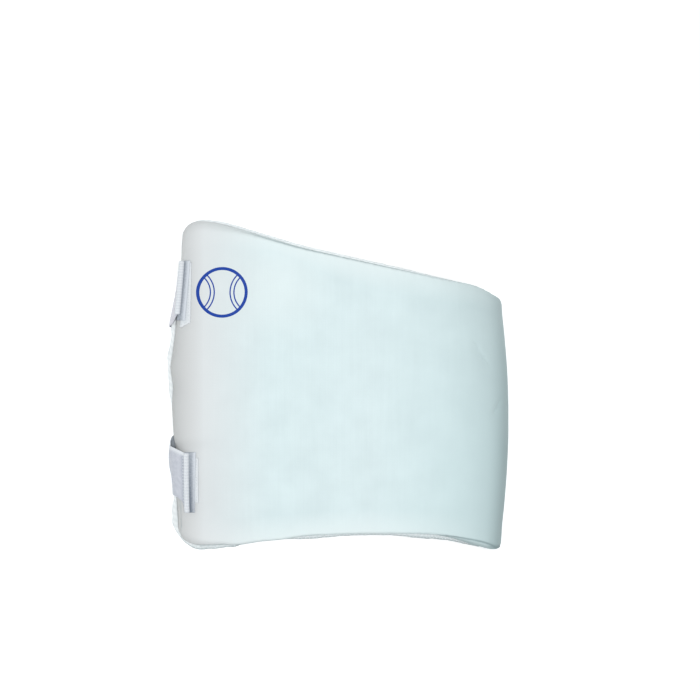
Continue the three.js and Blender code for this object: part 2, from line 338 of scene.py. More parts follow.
@dataclass(frozen=True)
class PanelShape:
    """The guard's flat pattern, its thickness, and the curve that it is bent along."""

    start_angle: float = 24.0
    bend: tuple[BendRow, ...] = (
        BendRow(length=55, turn=-5),
        BendRow(length=130, turn=-6),
        BendRow(length=60, turn=-28),
        BendRow(length=60, turn=-50),
        BendRow(length=24.5, turn=-25),
    )
    outline: tuple[OutlineRow, ...] = (
        OutlineRow(along=0, top=138, top_round=14, bottom=-136.5, bottom_round=12),
        OutlineRow(along=30, top=135, top_round=9, bottom=-136, bottom_round=5),
        OutlineRow(along=60, top=127, top_round=4.5, bottom=-132.5, bottom_round=2.5),
        OutlineRow(along=110, top=112.5, top_round=2.2, bottom=-127.5, bottom_round=2.2),
        OutlineRow(along=165, top=100, top_round=2, bottom=-125.5, bottom_round=2.2),
        OutlineRow(along=220, top=89.5, top_round=2, bottom=-128, bottom_round=2.4),
        OutlineRow(along=265, top=84, top_round=2.4, bottom=-138, bottom_round=1.2),
        OutlineRow(along=329.5, top=78, top_round=4, bottom=-152, bottom_round=1.2),
    )
    open_edge: tuple[EdgeRow, ...] = (
        EdgeRow(height=-136, inset=4.5),
        EdgeRow(height=-100, inset=1.3),
        EdgeRow(height=-30, inset=-0.9),
        EdgeRow(height=15, inset=-2),
        EdgeRow(height=50, inset=1.6),
        EdgeRow(height=100, inset=6.8),
        EdgeRow(height=138, inset=9),
    )
    bottom_rim: tuple[RimRow, ...] = (
        RimRow(0, 2.6, 0.8), RimRow(14, 0.8, 4.0), RimRow(42, 0.8, 3.1), RimRow(50, 2.4, 2.0),
        RimRow(57, 2.7, 0.4), RimRow(75, 1.8, 0.3), RimRow(90, 2.2, 0.3), RimRow(98, 1.8, 1.5),
        RimRow(112, 0.9, 3.4), RimRow(125, 1.1, 3.2), RimRow(140, 1.3, 2.4), RimRow(185, 1.6, 2.2),
        RimRow(200, 1.4, 3.6), RimRow(214, 1.3, 4.4), RimRow(228, 1.6, 3.7), RimRow(242, 1.9, 2.6),
        RimRow(255, 2.4, 1.8), RimRow(264, 2.9, 1.0), RimRow(272, 3.4, 0.3), RimRow(281, 3.0, 0.3),
        RimRow(290, 2.6, 0.3), RimRow(302, 0.4, 0.3), RimRow(315, -1.0, 0.3), RimRow(329.5, -1.2, 0.3),
    )
    open_rim: tuple[RimRow, ...] = (
        RimRow(-136, 1.6, 0.5), RimRow(-122, 1.2, 4.0), RimRow(-118, 0.8, 4.8), RimRow(-112, 0.4, 4.9),
        RimRow(-105, 0.4, 4.4), RimRow(-98, 0.3, 2.6), RimRow(-88, 0.3, 0.4), RimRow(-60, -1.0, 0.4),
        RimRow(-52, -0.6, 0.4), RimRow(-45, 0.6, 0.4), RimRow(-30, 1.1, 0.4), RimRow(-18, 1.3, 1.1),
        RimRow(-8, 0.0, 4.0), RimRow(0, -0.3, 4.6), RimRow(8, 1.2, 3.3), RimRow(16, 2.0, 3.2),
        RimRow(24, 0.9, 4.9), RimRow(38, 0.7, 3.6), RimRow(50, 1.0, 4.6), RimRow(60, 2.2, 0.5),
        RimRow(96, 2.0, 0.4), RimRow(138, 2.4, 0.3),
    )
    top_rim: tuple[RimRow, ...] = (
        RimRow(0, 2.4, 0.3), RimRow(40, 1.0, 1.8), RimRow(75, 0.8, 1.9), RimRow(105, 0.9, 2.1),
        RimRow(140, 1.8, 2.0), RimRow(195, 1.8, 2.0), RimRow(220, 1.2, 1.9), RimRow(245, 1.0, 1.3),
        RimRow(258, 0.3, 0.4), RimRow(270, -1.6, 0.3), RimRow(282, -3.4, 0.3), RimRow(300, -3.8, 0.3),
        RimRow(329.5, -2.0, 0.3),
    )
    rim_pull: float = 24.0
    top_open_corner: float = 16.0
    bottom_open_corner: float = 18.0
    top_far_corner: float = 10.0
    bottom_far_corner: float = 5.0
    corner_falloff: int = 5
    tall: float = 274.0
    thickness: float = 15.0
    lining: float = 2.0
    crown: float = 2.0
    rim_edge: float = 1.3
    rim_round: float = 14.0
    far_round: float = 9.0
    far_edge_share: float = 0.6
    barrel: float = 7.0
    barrel_half_height: float = 120.0
    barrel_start: float = 60.0
    gap: float = 0.3
    straps: tuple[StrapCut, ...] = (UPPER, LOWER)
    strap_width: float = 50.0
    press_margin: float = 2.0
    press_edge: float = 12.0
    press_fade: float = 24.0

    @property
    def span(self) -> float:
        """The pattern's length across the chest."""
        return sum(row.length for row in self.bend)

    @property
    def table(self) -> float:
        """The table's level below the open edge's foot."""
        return float(self.bend_at(np.array([self.span]))[1][0])

    @cached_property
    def shift(self) -> Array:
        """Where the pattern's origin lies in the frame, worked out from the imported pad's box."""
        low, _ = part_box("front_pad")
        places = self.grid(self.spread(self.span, 4.0), self.shares(self.tall / 64))
        faces = (self.gap / 2, self.front_at(places))
        corners = [self.point(places.along, places.height, out).min(axis=(0, 1)) for out in faces]
        return np.array(low) / MM - np.minimum(*corners)

    def bend_at(self, along: Array) -> tuple[Array, Array, Array]:
        """The bend's place and direction, straight on past its ends.

        Args:
            along: Distances from the open edge.

        Returns:
            X, Z and the angle in radians, at each.
        """
        angle = np.full(np.shape(along), math.radians(self.start_angle))
        left = np.maximum(along, 0.0)
        before = np.minimum(along, 0.0)
        x = before * np.cos(angle)
        z = before * np.sin(angle)
        for row in self.bend:
            done = np.minimum(left, row.length)
            curve = math.radians(row.turn) / row.length
            turned = angle + curve * done
            x = x + (np.sin(turned) - np.sin(angle)) / curve
            z = z + (np.cos(angle) - np.cos(turned)) / curve
            angle = turned
            left = left - done
        return x + left * np.cos(angle), z + left * np.sin(angle), angle

    def outline_at(self, column: str, along: Array) -> Array:
        """A column of the outline's table, at places across the chest."""
        return read_table(self.outline, column, along)

    def barrel_at(self, along: Array, height: Array) -> Array:
        """How far the panel falls back from its bend towards its top and bottom, near the far end."""
        top = self.outline_at("top", along)
        bottom = self.outline_at("bottom", along)
        off_middle = (height - (top + bottom) / 2) / self.barrel_half_height
        return self.barrel * smooth_step(self.barrel_start, self.span, along) * off_middle**2

    def point(self, along: Array, height: Array, out: Array) -> Array:
        """The points of places on the panel, in millimetres from the pattern's origin."""
        x, z, angle = self.bend_at(along)
        lift = out - self.barrel_at(along, height)
        return np.stack([x - lift * np.sin(angle), height + 0 * x, z + lift * np.cos(angle)], axis=-1)

    def placed(self, points: Array) -> Array:
        """Points in the frame, in metres."""
        return (points + self.shift) * MM

    @staticmethod
    def corner_cut(radius: float, distance: Array) -> Array:
        """How much a rounded corner takes off an edge, at a distance from the side it rounds into."""
        inside = np.clip(radius - distance, 0.0, radius)
        return radius - np.sqrt(radius**2 - inside**2)

    def edges_at(self, distance: Array) -> tuple[Array, Array, Array, Array]:
        """The pattern's top and bottom at a distance from the open edge, and what its corners take off."""
        to_far = self.span - distance
        return (
            self.outline_at("top", distance),
            self.outline_at("bottom", distance),
            self.corner_cut(self.top_open_corner, distance) + self.corner_cut(self.top_far_corner, to_far),
            self.corner_cut(self.bottom_open_corner, distance)
            + self.corner_cut(self.bottom_far_corner, to_far),
        )

    def places(self, distance: Array, height: Array) -> Places:
        """The places on the pattern at distances from the open edge and heights."""
        top, bottom, top_cut, bottom_cut = self.edges_at(distance)
        inset = read_table(self.open_edge, "inset", height)
        return Places(
            distance=distance,
            along=distance + inset * (1 - distance / self.span),
            height=height,
            to_top=np.maximum(top - top_cut - height, 0.0),
            to_bottom=np.maximum(height - bottom - bottom_cut, 0.0),
        )

    def grid(self, distances: Array, shares: Array) -> Places:
        """Places in a grid: a row for each share of the way up, a column for each distance."""
        distance, share = np.meshgrid(distances, shares)
        top, bottom, top_cut, bottom_cut = self.edges_at(distance)
        near_top = np.maximum(2 * share - 1, 0.0) ** self.corner_falloff
        near_bottom = np.maximum(1 - 2 * share, 0.0) ** self.corner_falloff
        height = bottom + (top - bottom) * share - top_cut * near_top + bottom_cut * near_bottom
        return self.places(distance, height)

    def spread(self, length: float, step: float, rim: float | None = None, rim_steps: int = 8) -> Array:
        """Distances over a length, even in the middle and closer round its two rims.

        Args:
            length: The whole length.
            step: The step in the middle.
            rim: How wide each rim is, the pad's rounding unless it is given.
            rim_steps: How many steps go round a rim.

        Returns:
            The distances.
        """
        rim = self.rim_round if rim is None else rim
        round_rim = rim * (1 - np.cos(np.linspace(0, math.pi / 2, rim_steps + 1)))
        middle = np.linspace(rim, length - rim, max(int(round((length - 2 * rim) / step)), 1) + 1)
        return np.concatenate([round_rim, middle[1:-1], (length - round_rim)[::-1]])

    def shares(self, step: float, rim: float | None = None, rim_steps: int = 8) -> Array:
        """Shares of the way up the pattern, spread in the same way from sizes in millimetres."""
        rim = self.rim_round if rim is None else rim
        return self.spread(1.0, step / self.tall, rim / self.tall, rim_steps)

    @staticmethod
    def rim_share(distance: Array, rounding: Array | float) -> Array:
        """A rim's height at a distance in from its edge, as a share of the full height."""
        inside = np.maximum(1 - distance / rounding, 0.0)
        return np.sqrt(np.maximum(1 - inside**2, 0.0))

    def press_at(self, distance: Array, height: Array) -> Array:
        """How deep the straps press into the pad."""
        press = np.zeros(np.shape(height))
        for cut in self.straps:
            beside = np.abs(height - cut.front) - self.strap_width / 2
            across = 1 - smooth_step(self.press_margin, self.press_margin + self.press_edge, beside)
            reach = max(cut.patch_reach)
            fade = 1 - smooth_step(reach, reach + self.press_fade, distance)
            press = press + cut.press * across * fade
        return press

    def rim_reach(self, places: Places, most: float = math.inf) -> tuple[Array, Array]:
        """Where places lie once a sheet's rim is drawn out over the edge tape, or in from it.

        Args:
            places: The places on the pattern.
            most: The furthest that the sheet reaches past the pattern.

        Returns:
            Their along and height.
        """

        def pull(rows: Sequence[RimRow], at: Array, inside: Array) -> Array:
            """How far a place is drawn outwards, less and less away from its rim."""
            reach = np.minimum(read_table(rows, "cover", at), most)
            return reach * (1 - smooth_step(0.0, self.rim_pull, inside))

        along = places.along - pull(self.open_rim, places.height, places.distance)
        height = places.height + pull(self.top_rim, places.along, places.to_top)
        return along, height - pull(self.bottom_rim, places.along, places.to_bottom)

    def rim_size(self, line: Array, outward: Array, column: str) -> Array:
        """Reads a rim table's column along a line round the rim, blended round its corners.

        Args:
            line: Places on the rim, as along and height.
            outward: The unit ways out of the pattern there.
            column: The column to read.

        Returns:
            Its values along the line.
        """
        sides = (
            (self.open_rim, line[:, 1], np.maximum(-outward[:, 0], 0.0) ** 2),
            (self.top_rim, line[:, 0], np.maximum(outward[:, 1], 0.0) ** 2),
            (self.bottom_rim, line[:, 0], np.maximum(-outward[:, 1], 0.0) ** 2),
        )
        total = sum(weight for _, _, weight in sides)
        return sum(read_table(rows, column, at) * weight for rows, at, weight in sides) / total

    def front_at(self, places: Places) -> Array:
        """How far the pad's front stands out of its back."""
        across = np.maximum(places.to_top + places.to_bottom, 1e-6)
        middle = 4 * places.to_top * places.to_bottom / across**2
        full = self.thickness + self.crown * middle - self.press_at(places.distance, places.height)
        far = self.rim_share(self.span - places.distance, self.far_round)
        rim = self.rim_share(places.distance, self.rim_round)
        rim = rim * at_least(self.far_edge_share, far)
        top_round = self.outline_at("top_round", places.distance)
        bottom_round = self.outline_at("bottom_round", places.distance)
        rim = rim * self.rim_share(places.to_top, top_round) * self.rim_share(places.to_bottom, bottom_round)
        return self.rim_edge + (full - self.rim_edge) * rim

    def edge_point(self, height: Array, distance: Array, out: Array) -> Array:
        """A point square to the open edge at a height, from a distance and an outward height there."""
        x, z, angle = self.bend_at(read_table(self.open_edge, "inset", height))
        cos, sin = np.cos(angle), np.sin(angle)
        level = z + distance * sin + out * cos
        return np.stack([x + distance * cos - out * sin, height + 0 * x, level], axis=-1)

    def over_front(self, height: Array, distance: Array, lift: Array, step: float = 0.05) -> Array:
        """Points over the pad's front near the open edge, lifted square to the front.

        Args:
            height: Their heights.
            distance: Their distances from the open edge.
            lift: How far they are lifted.
            step: The step over which the front's slope is taken.

        Returns:
            The points, in millimetres from the pattern's origin.
        """

        def front(at: Array) -> Array:
            """The front's height at a distance."""
            return self.front_at(self.places(at, height))

        rise = front(distance + step) - front(np.maximum(distance - step, 0.0))
        slope = np.hypot(2 * step, rise)
        out = front(distance) + 2 * step / slope * lift
        return self.edge_point(height, distance - rise / slope * lift, out)


def select(*pieces: Piece) -> None:
    """Leaves edit mode and selects these pieces alone, with the first one active."""
    if bpy.context.object and bpy.context.object.mode != "OBJECT":
        bpy.ops.object.mode_set(mode="OBJECT")
    bpy.ops.object.select_all(action="DESELECT")
    for piece in pieces:
        piece.select_set(True)
    if pieces:
        bpy.context.view_layer.objects.active = pieces[0]


def name_piece(piece: Piece, name: str) -> Piece:
    """Names a piece and its mesh."""
    piece.name = name
    piece.data.name = name
    return piece


def read_items(items: Sequence, key: str, width: int) -> Array:
    """Reads a property of each item in one of a mesh's lists, a row each."""
    values = np.empty(len(items) * width, np.float32)
    items.foreach_get(key, values)
    return values.reshape(-1, width).astype(float)


def read_points(mesh: Mesh) -> Array:
    """A mesh's vertices, a row each."""
    return read_items(mesh.vertices, "co", 3)


def write_points(mesh: Mesh, points: Array) -> None:
    """Moves a mesh's vertices."""
    mesh.vertices.foreach_set("co", points.astype(np.float32).ravel())
    mesh.update()


def read_value(mesh: Mesh, name: str) -> Array:
    """Reads the number kept at each vertex."""
    return read_items(mesh.attributes[name].data, "value", 1)[:, 0]


def write_value(mesh: Mesh, name: str, values: Array) -> None:
    """Keeps a number at each vertex."""
    attribute = mesh.attributes.new(name, "FLOAT", "POINT")
    attribute.data.foreach_set("value", values.astype(np.float32))


def corner_vertices(mesh: Mesh) -> Array:
    """The vertex at each corner of a mesh's faces."""
    corner = np.empty(len(mesh.loops), np.int32)
    mesh.loops.foreach_get("vertex_index", corner)
    return corner


def read_uv(mesh: Mesh) -> Array:
    """Each vertex's place on the pattern, in metres."""
    places = np.zeros((len(mesh.vertices), 2))
    places[corner_vertices(mesh)] = read_items(mesh.uv_layers[UV_NAME].data, "uv", 2)
    return places


def write_uv(mesh: Mesh, uv: Array) -> None:
    """Gives every corner of a mesh its vertex's place on the pattern, in metres."""
    layer = mesh.uv_layers[0] if mesh.uv_layers else mesh.uv_layers.new()
    layer.name = UV_NAME
    layer.data.foreach_set("uv", uv[corner_vertices(mesh)].astype(np.float32).ravel())


def add_grid(name: str, columns: int, rows: int) -> Piece:
    """Adds a flat grid of so many columns and rows of faces, to be shaped."""
    select()
    bpy.ops.mesh.primitive_grid_add(x_subdivisions=columns, y_subdivisions=rows, size=1.0)
    return name_piece(bpy.context.active_object, name)


def grid_places(mesh: Mesh, columns: int, rows: int) -> tuple[Array, Array, Array]:
    """Each vertex's row and column in a grid that is still flat, and whether it is on the raised side."""
    flat = read_points(mesh)
    row = np.rint((flat[:, 1] + 0.5) * rows).astype(int)
    column = np.rint((flat[:, 0] + 0.5) * columns).astype(int)
    return row, column, flat[:, 2] > 0.5


class Layer(NamedTuple):
    """A new closed sheet and where its vertices stand in the grid."""

    piece: Piece
    row: Array
    column: Array
    is_front: Array


def add_layer(shape: PanelShape, name: str, front: Array, back: Array, uv: Array, inside: Array) -> Layer:
    """Models a closed sheet: a grid is extruded, and its two faces are laid on two grids of points.

    Args:
        shape: The pattern, which places the points in the frame.
        name: The piece's name.
        front: The front face's points, rows by columns, in millimetres from the pattern's origin.
        back: The back face's points.
        uv: The places on the pattern, in millimetres.
        inside: The distances in from the edge, in millimetres.

    Returns:
        The sheet and its vertices' rows, columns and faces.
    """
    rows, columns = (count - 1 for count in front.shape[:2])
    piece = add_grid(name, columns, rows)
    bpy.ops.object.mode_set(mode="EDIT")
    bpy.ops.mesh.select_all(action="SELECT")
    bpy.ops.mesh.extrude_region_move(TRANSFORM_OT_translate={"value": (0.0, 0.0, 1.0)})
    bpy.ops.object.mode_set(mode="OBJECT")
    row, column, is_front = grid_places(piece.data, columns, rows)
    points = np.where(is_front[:, None], front[row, column], back[row, column])
    write_points(piece.data, shape.placed(points))
    write_uv(piece.data, uv[row, column] * MM)
    write_value(piece.data, EDGE_NAME, inside[row, column] * MM)
    write_value(piece.data, FRONT_NAME, is_front)
    close_shell(piece)
    return Layer(piece, row, column, is_front)


def close_shell(piece: Piece) -> None:
    """Turns a closed shell's faces outwards and shades it smooth."""
    select(piece)
    bpy.ops.object.mode_set(mode="EDIT")
    bpy.ops.mesh.select_all(action="SELECT")
    bpy.ops.mesh.normals_make_consistent(inside=False)
    bpy.ops.object.mode_set(mode="OBJECT")
    bpy.ops.object.shade_smooth()


def add_tube(name: str, rings: Array, travel: Array, girth: float, under_shade: Array) -> Piece:
    """Models a closed tube: a grid is rolled round a line of rings, and its ends are filled.

    Args:
        name: The piece's name.
        rings: The rings' points in metres, one ring to a row.
        travel: How far along the tube each ring lies, in millimetres.
        girth: The way round a ring, in millimetres.
        under_shade: How much painted shade falls on each of the rings' points, where the tape faces down.

    Returns:
        The tube.
    """
    count, sides = rings.shape[:2]
    piece = add_grid(name, sides, count - 1)
    row, column, _ = grid_places(piece.data, sides, count - 1)
    write_points(piece.data, rings[row, column % sides])
    write_uv(piece.data, np.stack([girth * column / sides, travel[row]], axis=1) * MM)
    write_value(piece.data, PAINTED_SHADE_NAME, under_shade[row, column % sides])
    bpy.ops.object.mode_set(mode="EDIT")
    bpy.ops.mesh.select_all(action="SELECT")
    bpy.ops.mesh.remove_doubles(threshold=1e-7)
    bpy.ops.mesh.fill_holes(sides=0)
    close_shell(piece)
    return piece


class Stitch(NamedTuple):
    """One stitch: its middle, its way, the way off the cloth, and its length, in millimetres."""

    middle: Array
    way: Array
    off: Array
    length: float


def stitch_line(line: Array, lifted: Array, pitch: float, share: float = 0.72) -> list[Stitch]:
    """Lays stitches along a seam.

    Args:
        line: The seam's points on the cloth.
        lifted: The same points, lifted off the cloth.
        pitch: The length of a stitch and its gap.
        share: How much of the pitch the stitch takes.

    Returns:
        The stitches.
    """
    travelled = distances_along(line)
    count = max(int(round(travelled[-1] / pitch)), 1)
    ends = np.linspace(0.0, travelled[-1], count + 1)
    on, over = (
        np.stack([np.interp(ends, travelled, axis) for axis in points.T], axis=1)
        for points in (line, lifted)
    )
    middles = (on[:-1] + on[1:]) / 2
    ways = np.diff(on, axis=0)
    offs = unit((over[:-1] + over[1:]) / 2 - middles)
    lengths = np.linalg.norm(ways, axis=1)
    return [Stitch(m, w / n, o, n * share) for m, w, o, n in zip(middles, ways, offs, lengths)]


def add_stitches(
    name: str, stitches: Sequence[Stitch], shape: PanelShape, radius: float, slot: Slot
) -> Piece:
    """Sews stitches: one is modelled, each of the rest is a copy of it, and they are joined.

    Args:
        name: The piece's name.
        stitches: The stitches, in millimetres from the pattern's origin.
        shape: The pattern, which places them in the frame.
        radius: The thread's radius.
        slot: The slot of the piece that they sew; not used.

    Returns:
        The joined stitches.
    """
    select()
    bpy.ops.mesh.primitive_uv_sphere_add(segments=6, ring_count=5, radius=1.0)
    model = bpy.context.active_object
    copies = []
    for stitch in stitches:
        copy = bpy.data.objects.new(name, model.data.copy())
        bpy.context.scene.collection.objects.link(copy)
        across = unit(np.cross(stitch.off, stitch.way))
        upright = np.cross(stitch.way, across)
        turn = Matrix(np.stack([stitch.way, across, upright], axis=1).tolist()).to_4x4()
        size = Matrix.Diagonal((stitch.length / 2 * MM, radius * MM, radius * MM, 1.0))
        copy.matrix_world = Matrix.Translation(shape.placed(stitch.middle)) @ turn @ size
        copies.append(copy)
    bpy.data.objects.remove(model)
    select(*copies)
    bpy.ops.object.join()
    bpy.ops.object.transform_apply(location=True, rotation=True, scale=True)
    bpy.ops.object.shade_smooth()
    joined = name_piece(bpy.context.active_object, name)
    dress(joined, SEAM_THREAD, slot)
    return joined


def apply_modifiers(piece: Piece) -> None:
    """Applies a piece's modifiers in order."""
    select(piece)
    for name in [modifier.name for modifier in piece.modifiers]:
        bpy.ops.object.modifier_apply(modifier=name)


def subdivide(piece: Piece, levels: int = 1) -> None:
    """Smooths a piece with an applied subdivision surface."""
    smooth = piece.modifiers.new("smooth", "SUBSURF")
    smooth.levels = levels
    smooth.render_levels = levels
    apply_modifiers(piece)


def linear(hex_colour: str) -> tuple[float, float, float, float]:
    """Turns an sRGB hex colour to a linear one."""
    channels = [int(hex_colour[i : i + 2], 16) / 255 for i in (1, 3, 5)]
    red, green, blue = (c / 12.92 if c <= 0.04045 else ((c + 0.055) / 1.055) ** 2.4 for c in channels)
    return red, green, blue, 1.0


def set_inputs(node: bpy.types.Node, inputs: dict) -> None:
    """Sets a node's inputs, by name or number, to values, or links them to other nodes' sockets."""
    for socket, value in inputs.items():
        if isinstance(value, Socket):
            node.id_data.links.new(value, node.inputs[socket])
        else:
            node.inputs[socket].default_value = value


def add_node(tree: Tree, kind: str, inputs: dict, **settings: object) -> Socket:
    """Adds a node with its settings and links.

    Args:
        tree: The material's node tree.
        kind: The node's type, without its ShaderNode prefix.
        inputs: Values for its inputs, by name or number, or the sockets to link to them.
        settings: The node's own properties.

    Returns:
        The node's factor output if it has one, or else its first output in use.
    """
    node = tree.nodes.new("ShaderNode" + kind)
    for name, value in settings.items():
        setattr(node, name, value)
    set_inputs(node, inputs)
    return node.outputs.get("Fac") or next(output for output in node.outputs if output.enabled)


def per_metre(size_mm: float) -> float:
    """A noise scale whose grains are of a size."""
    return 1 / (size_mm * MM)


def wave_scale(period_mm: float) -> float:
    """A wave texture's scale for a period, as its bands repeat every 2 pi / 20 at scale 1."""
    return 2 * math.pi / (20 * period_mm * MM)


class Paint(NamedTuple):
    """What a finish's pattern gives its shader."""

    colour: Socket
    roughness: Socket
    height: Socket


@dataclass(frozen=True)
class Finish:
    """A cloth finish: its name, light and dark shade, and how it takes the light."""

    name: str
    light: str
    dark: str
    roughness: float
    relief: float
    roughness_spread: float = 0.1
    ior: float = 1.46
    specular: float = 0.5
    sheen: float = 0.0
    sheen_roughness: float = 0.5

    def paint(self, node: NodeMaker) -> Paint:
        """Adds the finish's pattern."""
        raise NotImplementedError

    def material(self) -> bpy.types.Material:
        """Makes the material, or finds it if another piece wears it."""
        found = bpy.data.materials.get(self.name)
        if found:
            return found
        material = bpy.data.materials.new(self.name)
        material.use_nodes = True
        tree = material.node_tree
        node = partial(add_node, tree)
        paint = self.paint(node)
        looks = {
            "Base Color": paint.colour,
            "Roughness": paint.roughness,
            "Normal": node("Bump", {"Distance": self.relief * MM, "Height": paint.height}),
            "IOR": self.ior,
            "Specular IOR Level": self.specular,
            "Sheen Weight": self.sheen,
            "Sheen Roughness": self.sheen_roughness,
        }
        set_inputs(tree.nodes["Principled BSDF"], looks)
        return material

    def blend(self, node: NodeMaker, factor: Socket) -> Socket:
        """Mixes from the dark shade to the light one."""
        shades = {0: factor, 6: linear(self.dark), 7: linear(self.light)}
        return node("Mix", shades, data_type="RGBA")

    def spread_roughness(self, node: NodeMaker, factor: Socket) -> Socket:
        """Lets the roughness waver either way."""
        low, high = self.roughness - self.roughness_spread, self.roughness + self.roughness_spread
        return node("MapRange", {0: factor, 3: low, 4: high})


def dress(piece: Piece, finish: Finish, slot: Slot, *nodes: str) -> None:
    """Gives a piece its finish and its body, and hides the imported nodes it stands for."""
    piece.data.materials.clear()
    piece.data.materials.append(finish.material())
    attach(piece, BODY)
    if nodes:
        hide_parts(*nodes)
    log.info("%s: %d faces, %s", piece.name, len(piece.data.polygons), finish.name)


@dataclass(frozen=True)
class BallPrint:
    """A plain printed ball: a ring with two double seams, in millimetres on the pattern."""

    colour: str = "#063c9c"
    middle: Pair = (42.0, 77.0)
    radius: float = 20.0
    line: float = 2.6
    seam_offset: float = 27.0
    seam_radii: Pair = (17.2, 20.4)
    seam_line: float = 1.1

    def mask(self, node: NodeMaker, uv: Socket) -> Socket:
        """Where the print lies."""

        def away(along: float) -> Socket:
            """The distance from a point level with the print's middle."""
            point = (along * MM, self.middle[1] * MM, 0.0)
            return node("VectorMath", {0: uv, 1: point}, operation="DISTANCE")

        def ring(distance: Socket, radius: float, line: float) -> Socket:
            """A ring of a line's width."""
            return node("Math", {0: distance, 1: radius * MM, 2: line / 2 * MM}, operation="COMPARE")

        ball = away(self.middle[0])
        within = node("Math", {0: ball, 1: self.radius * MM}, operation="LESS_THAN")
        mask = ring(ball, self.radius, self.line)
        for side in (-1, 1):
            distance = away(self.middle[0] + side * self.seam_offset)
            for radius in self.seam_radii:
                seam = ring(distance, radius, self.seam_line)
                mask = node("Math", {0: seam, 1: within, 2: mask}, operation="MULTIPLY_ADD")
        return node("Math", {0: mask, 1: 1.0}, operation="MINIMUM")


class Ease(Enum):
    """How a fade goes from its first share to its last."""

    STRAIGHT = "LINEAR"
    SMOOTH = "SMOOTHSTEP"


class Fade(NamedTuple):
    """How a tint fades over a stretch, in millimetres, from one share to another."""

    start: float
    stop: float
    first: float
    last: float
    ease: Ease = Ease.STRAIGHT


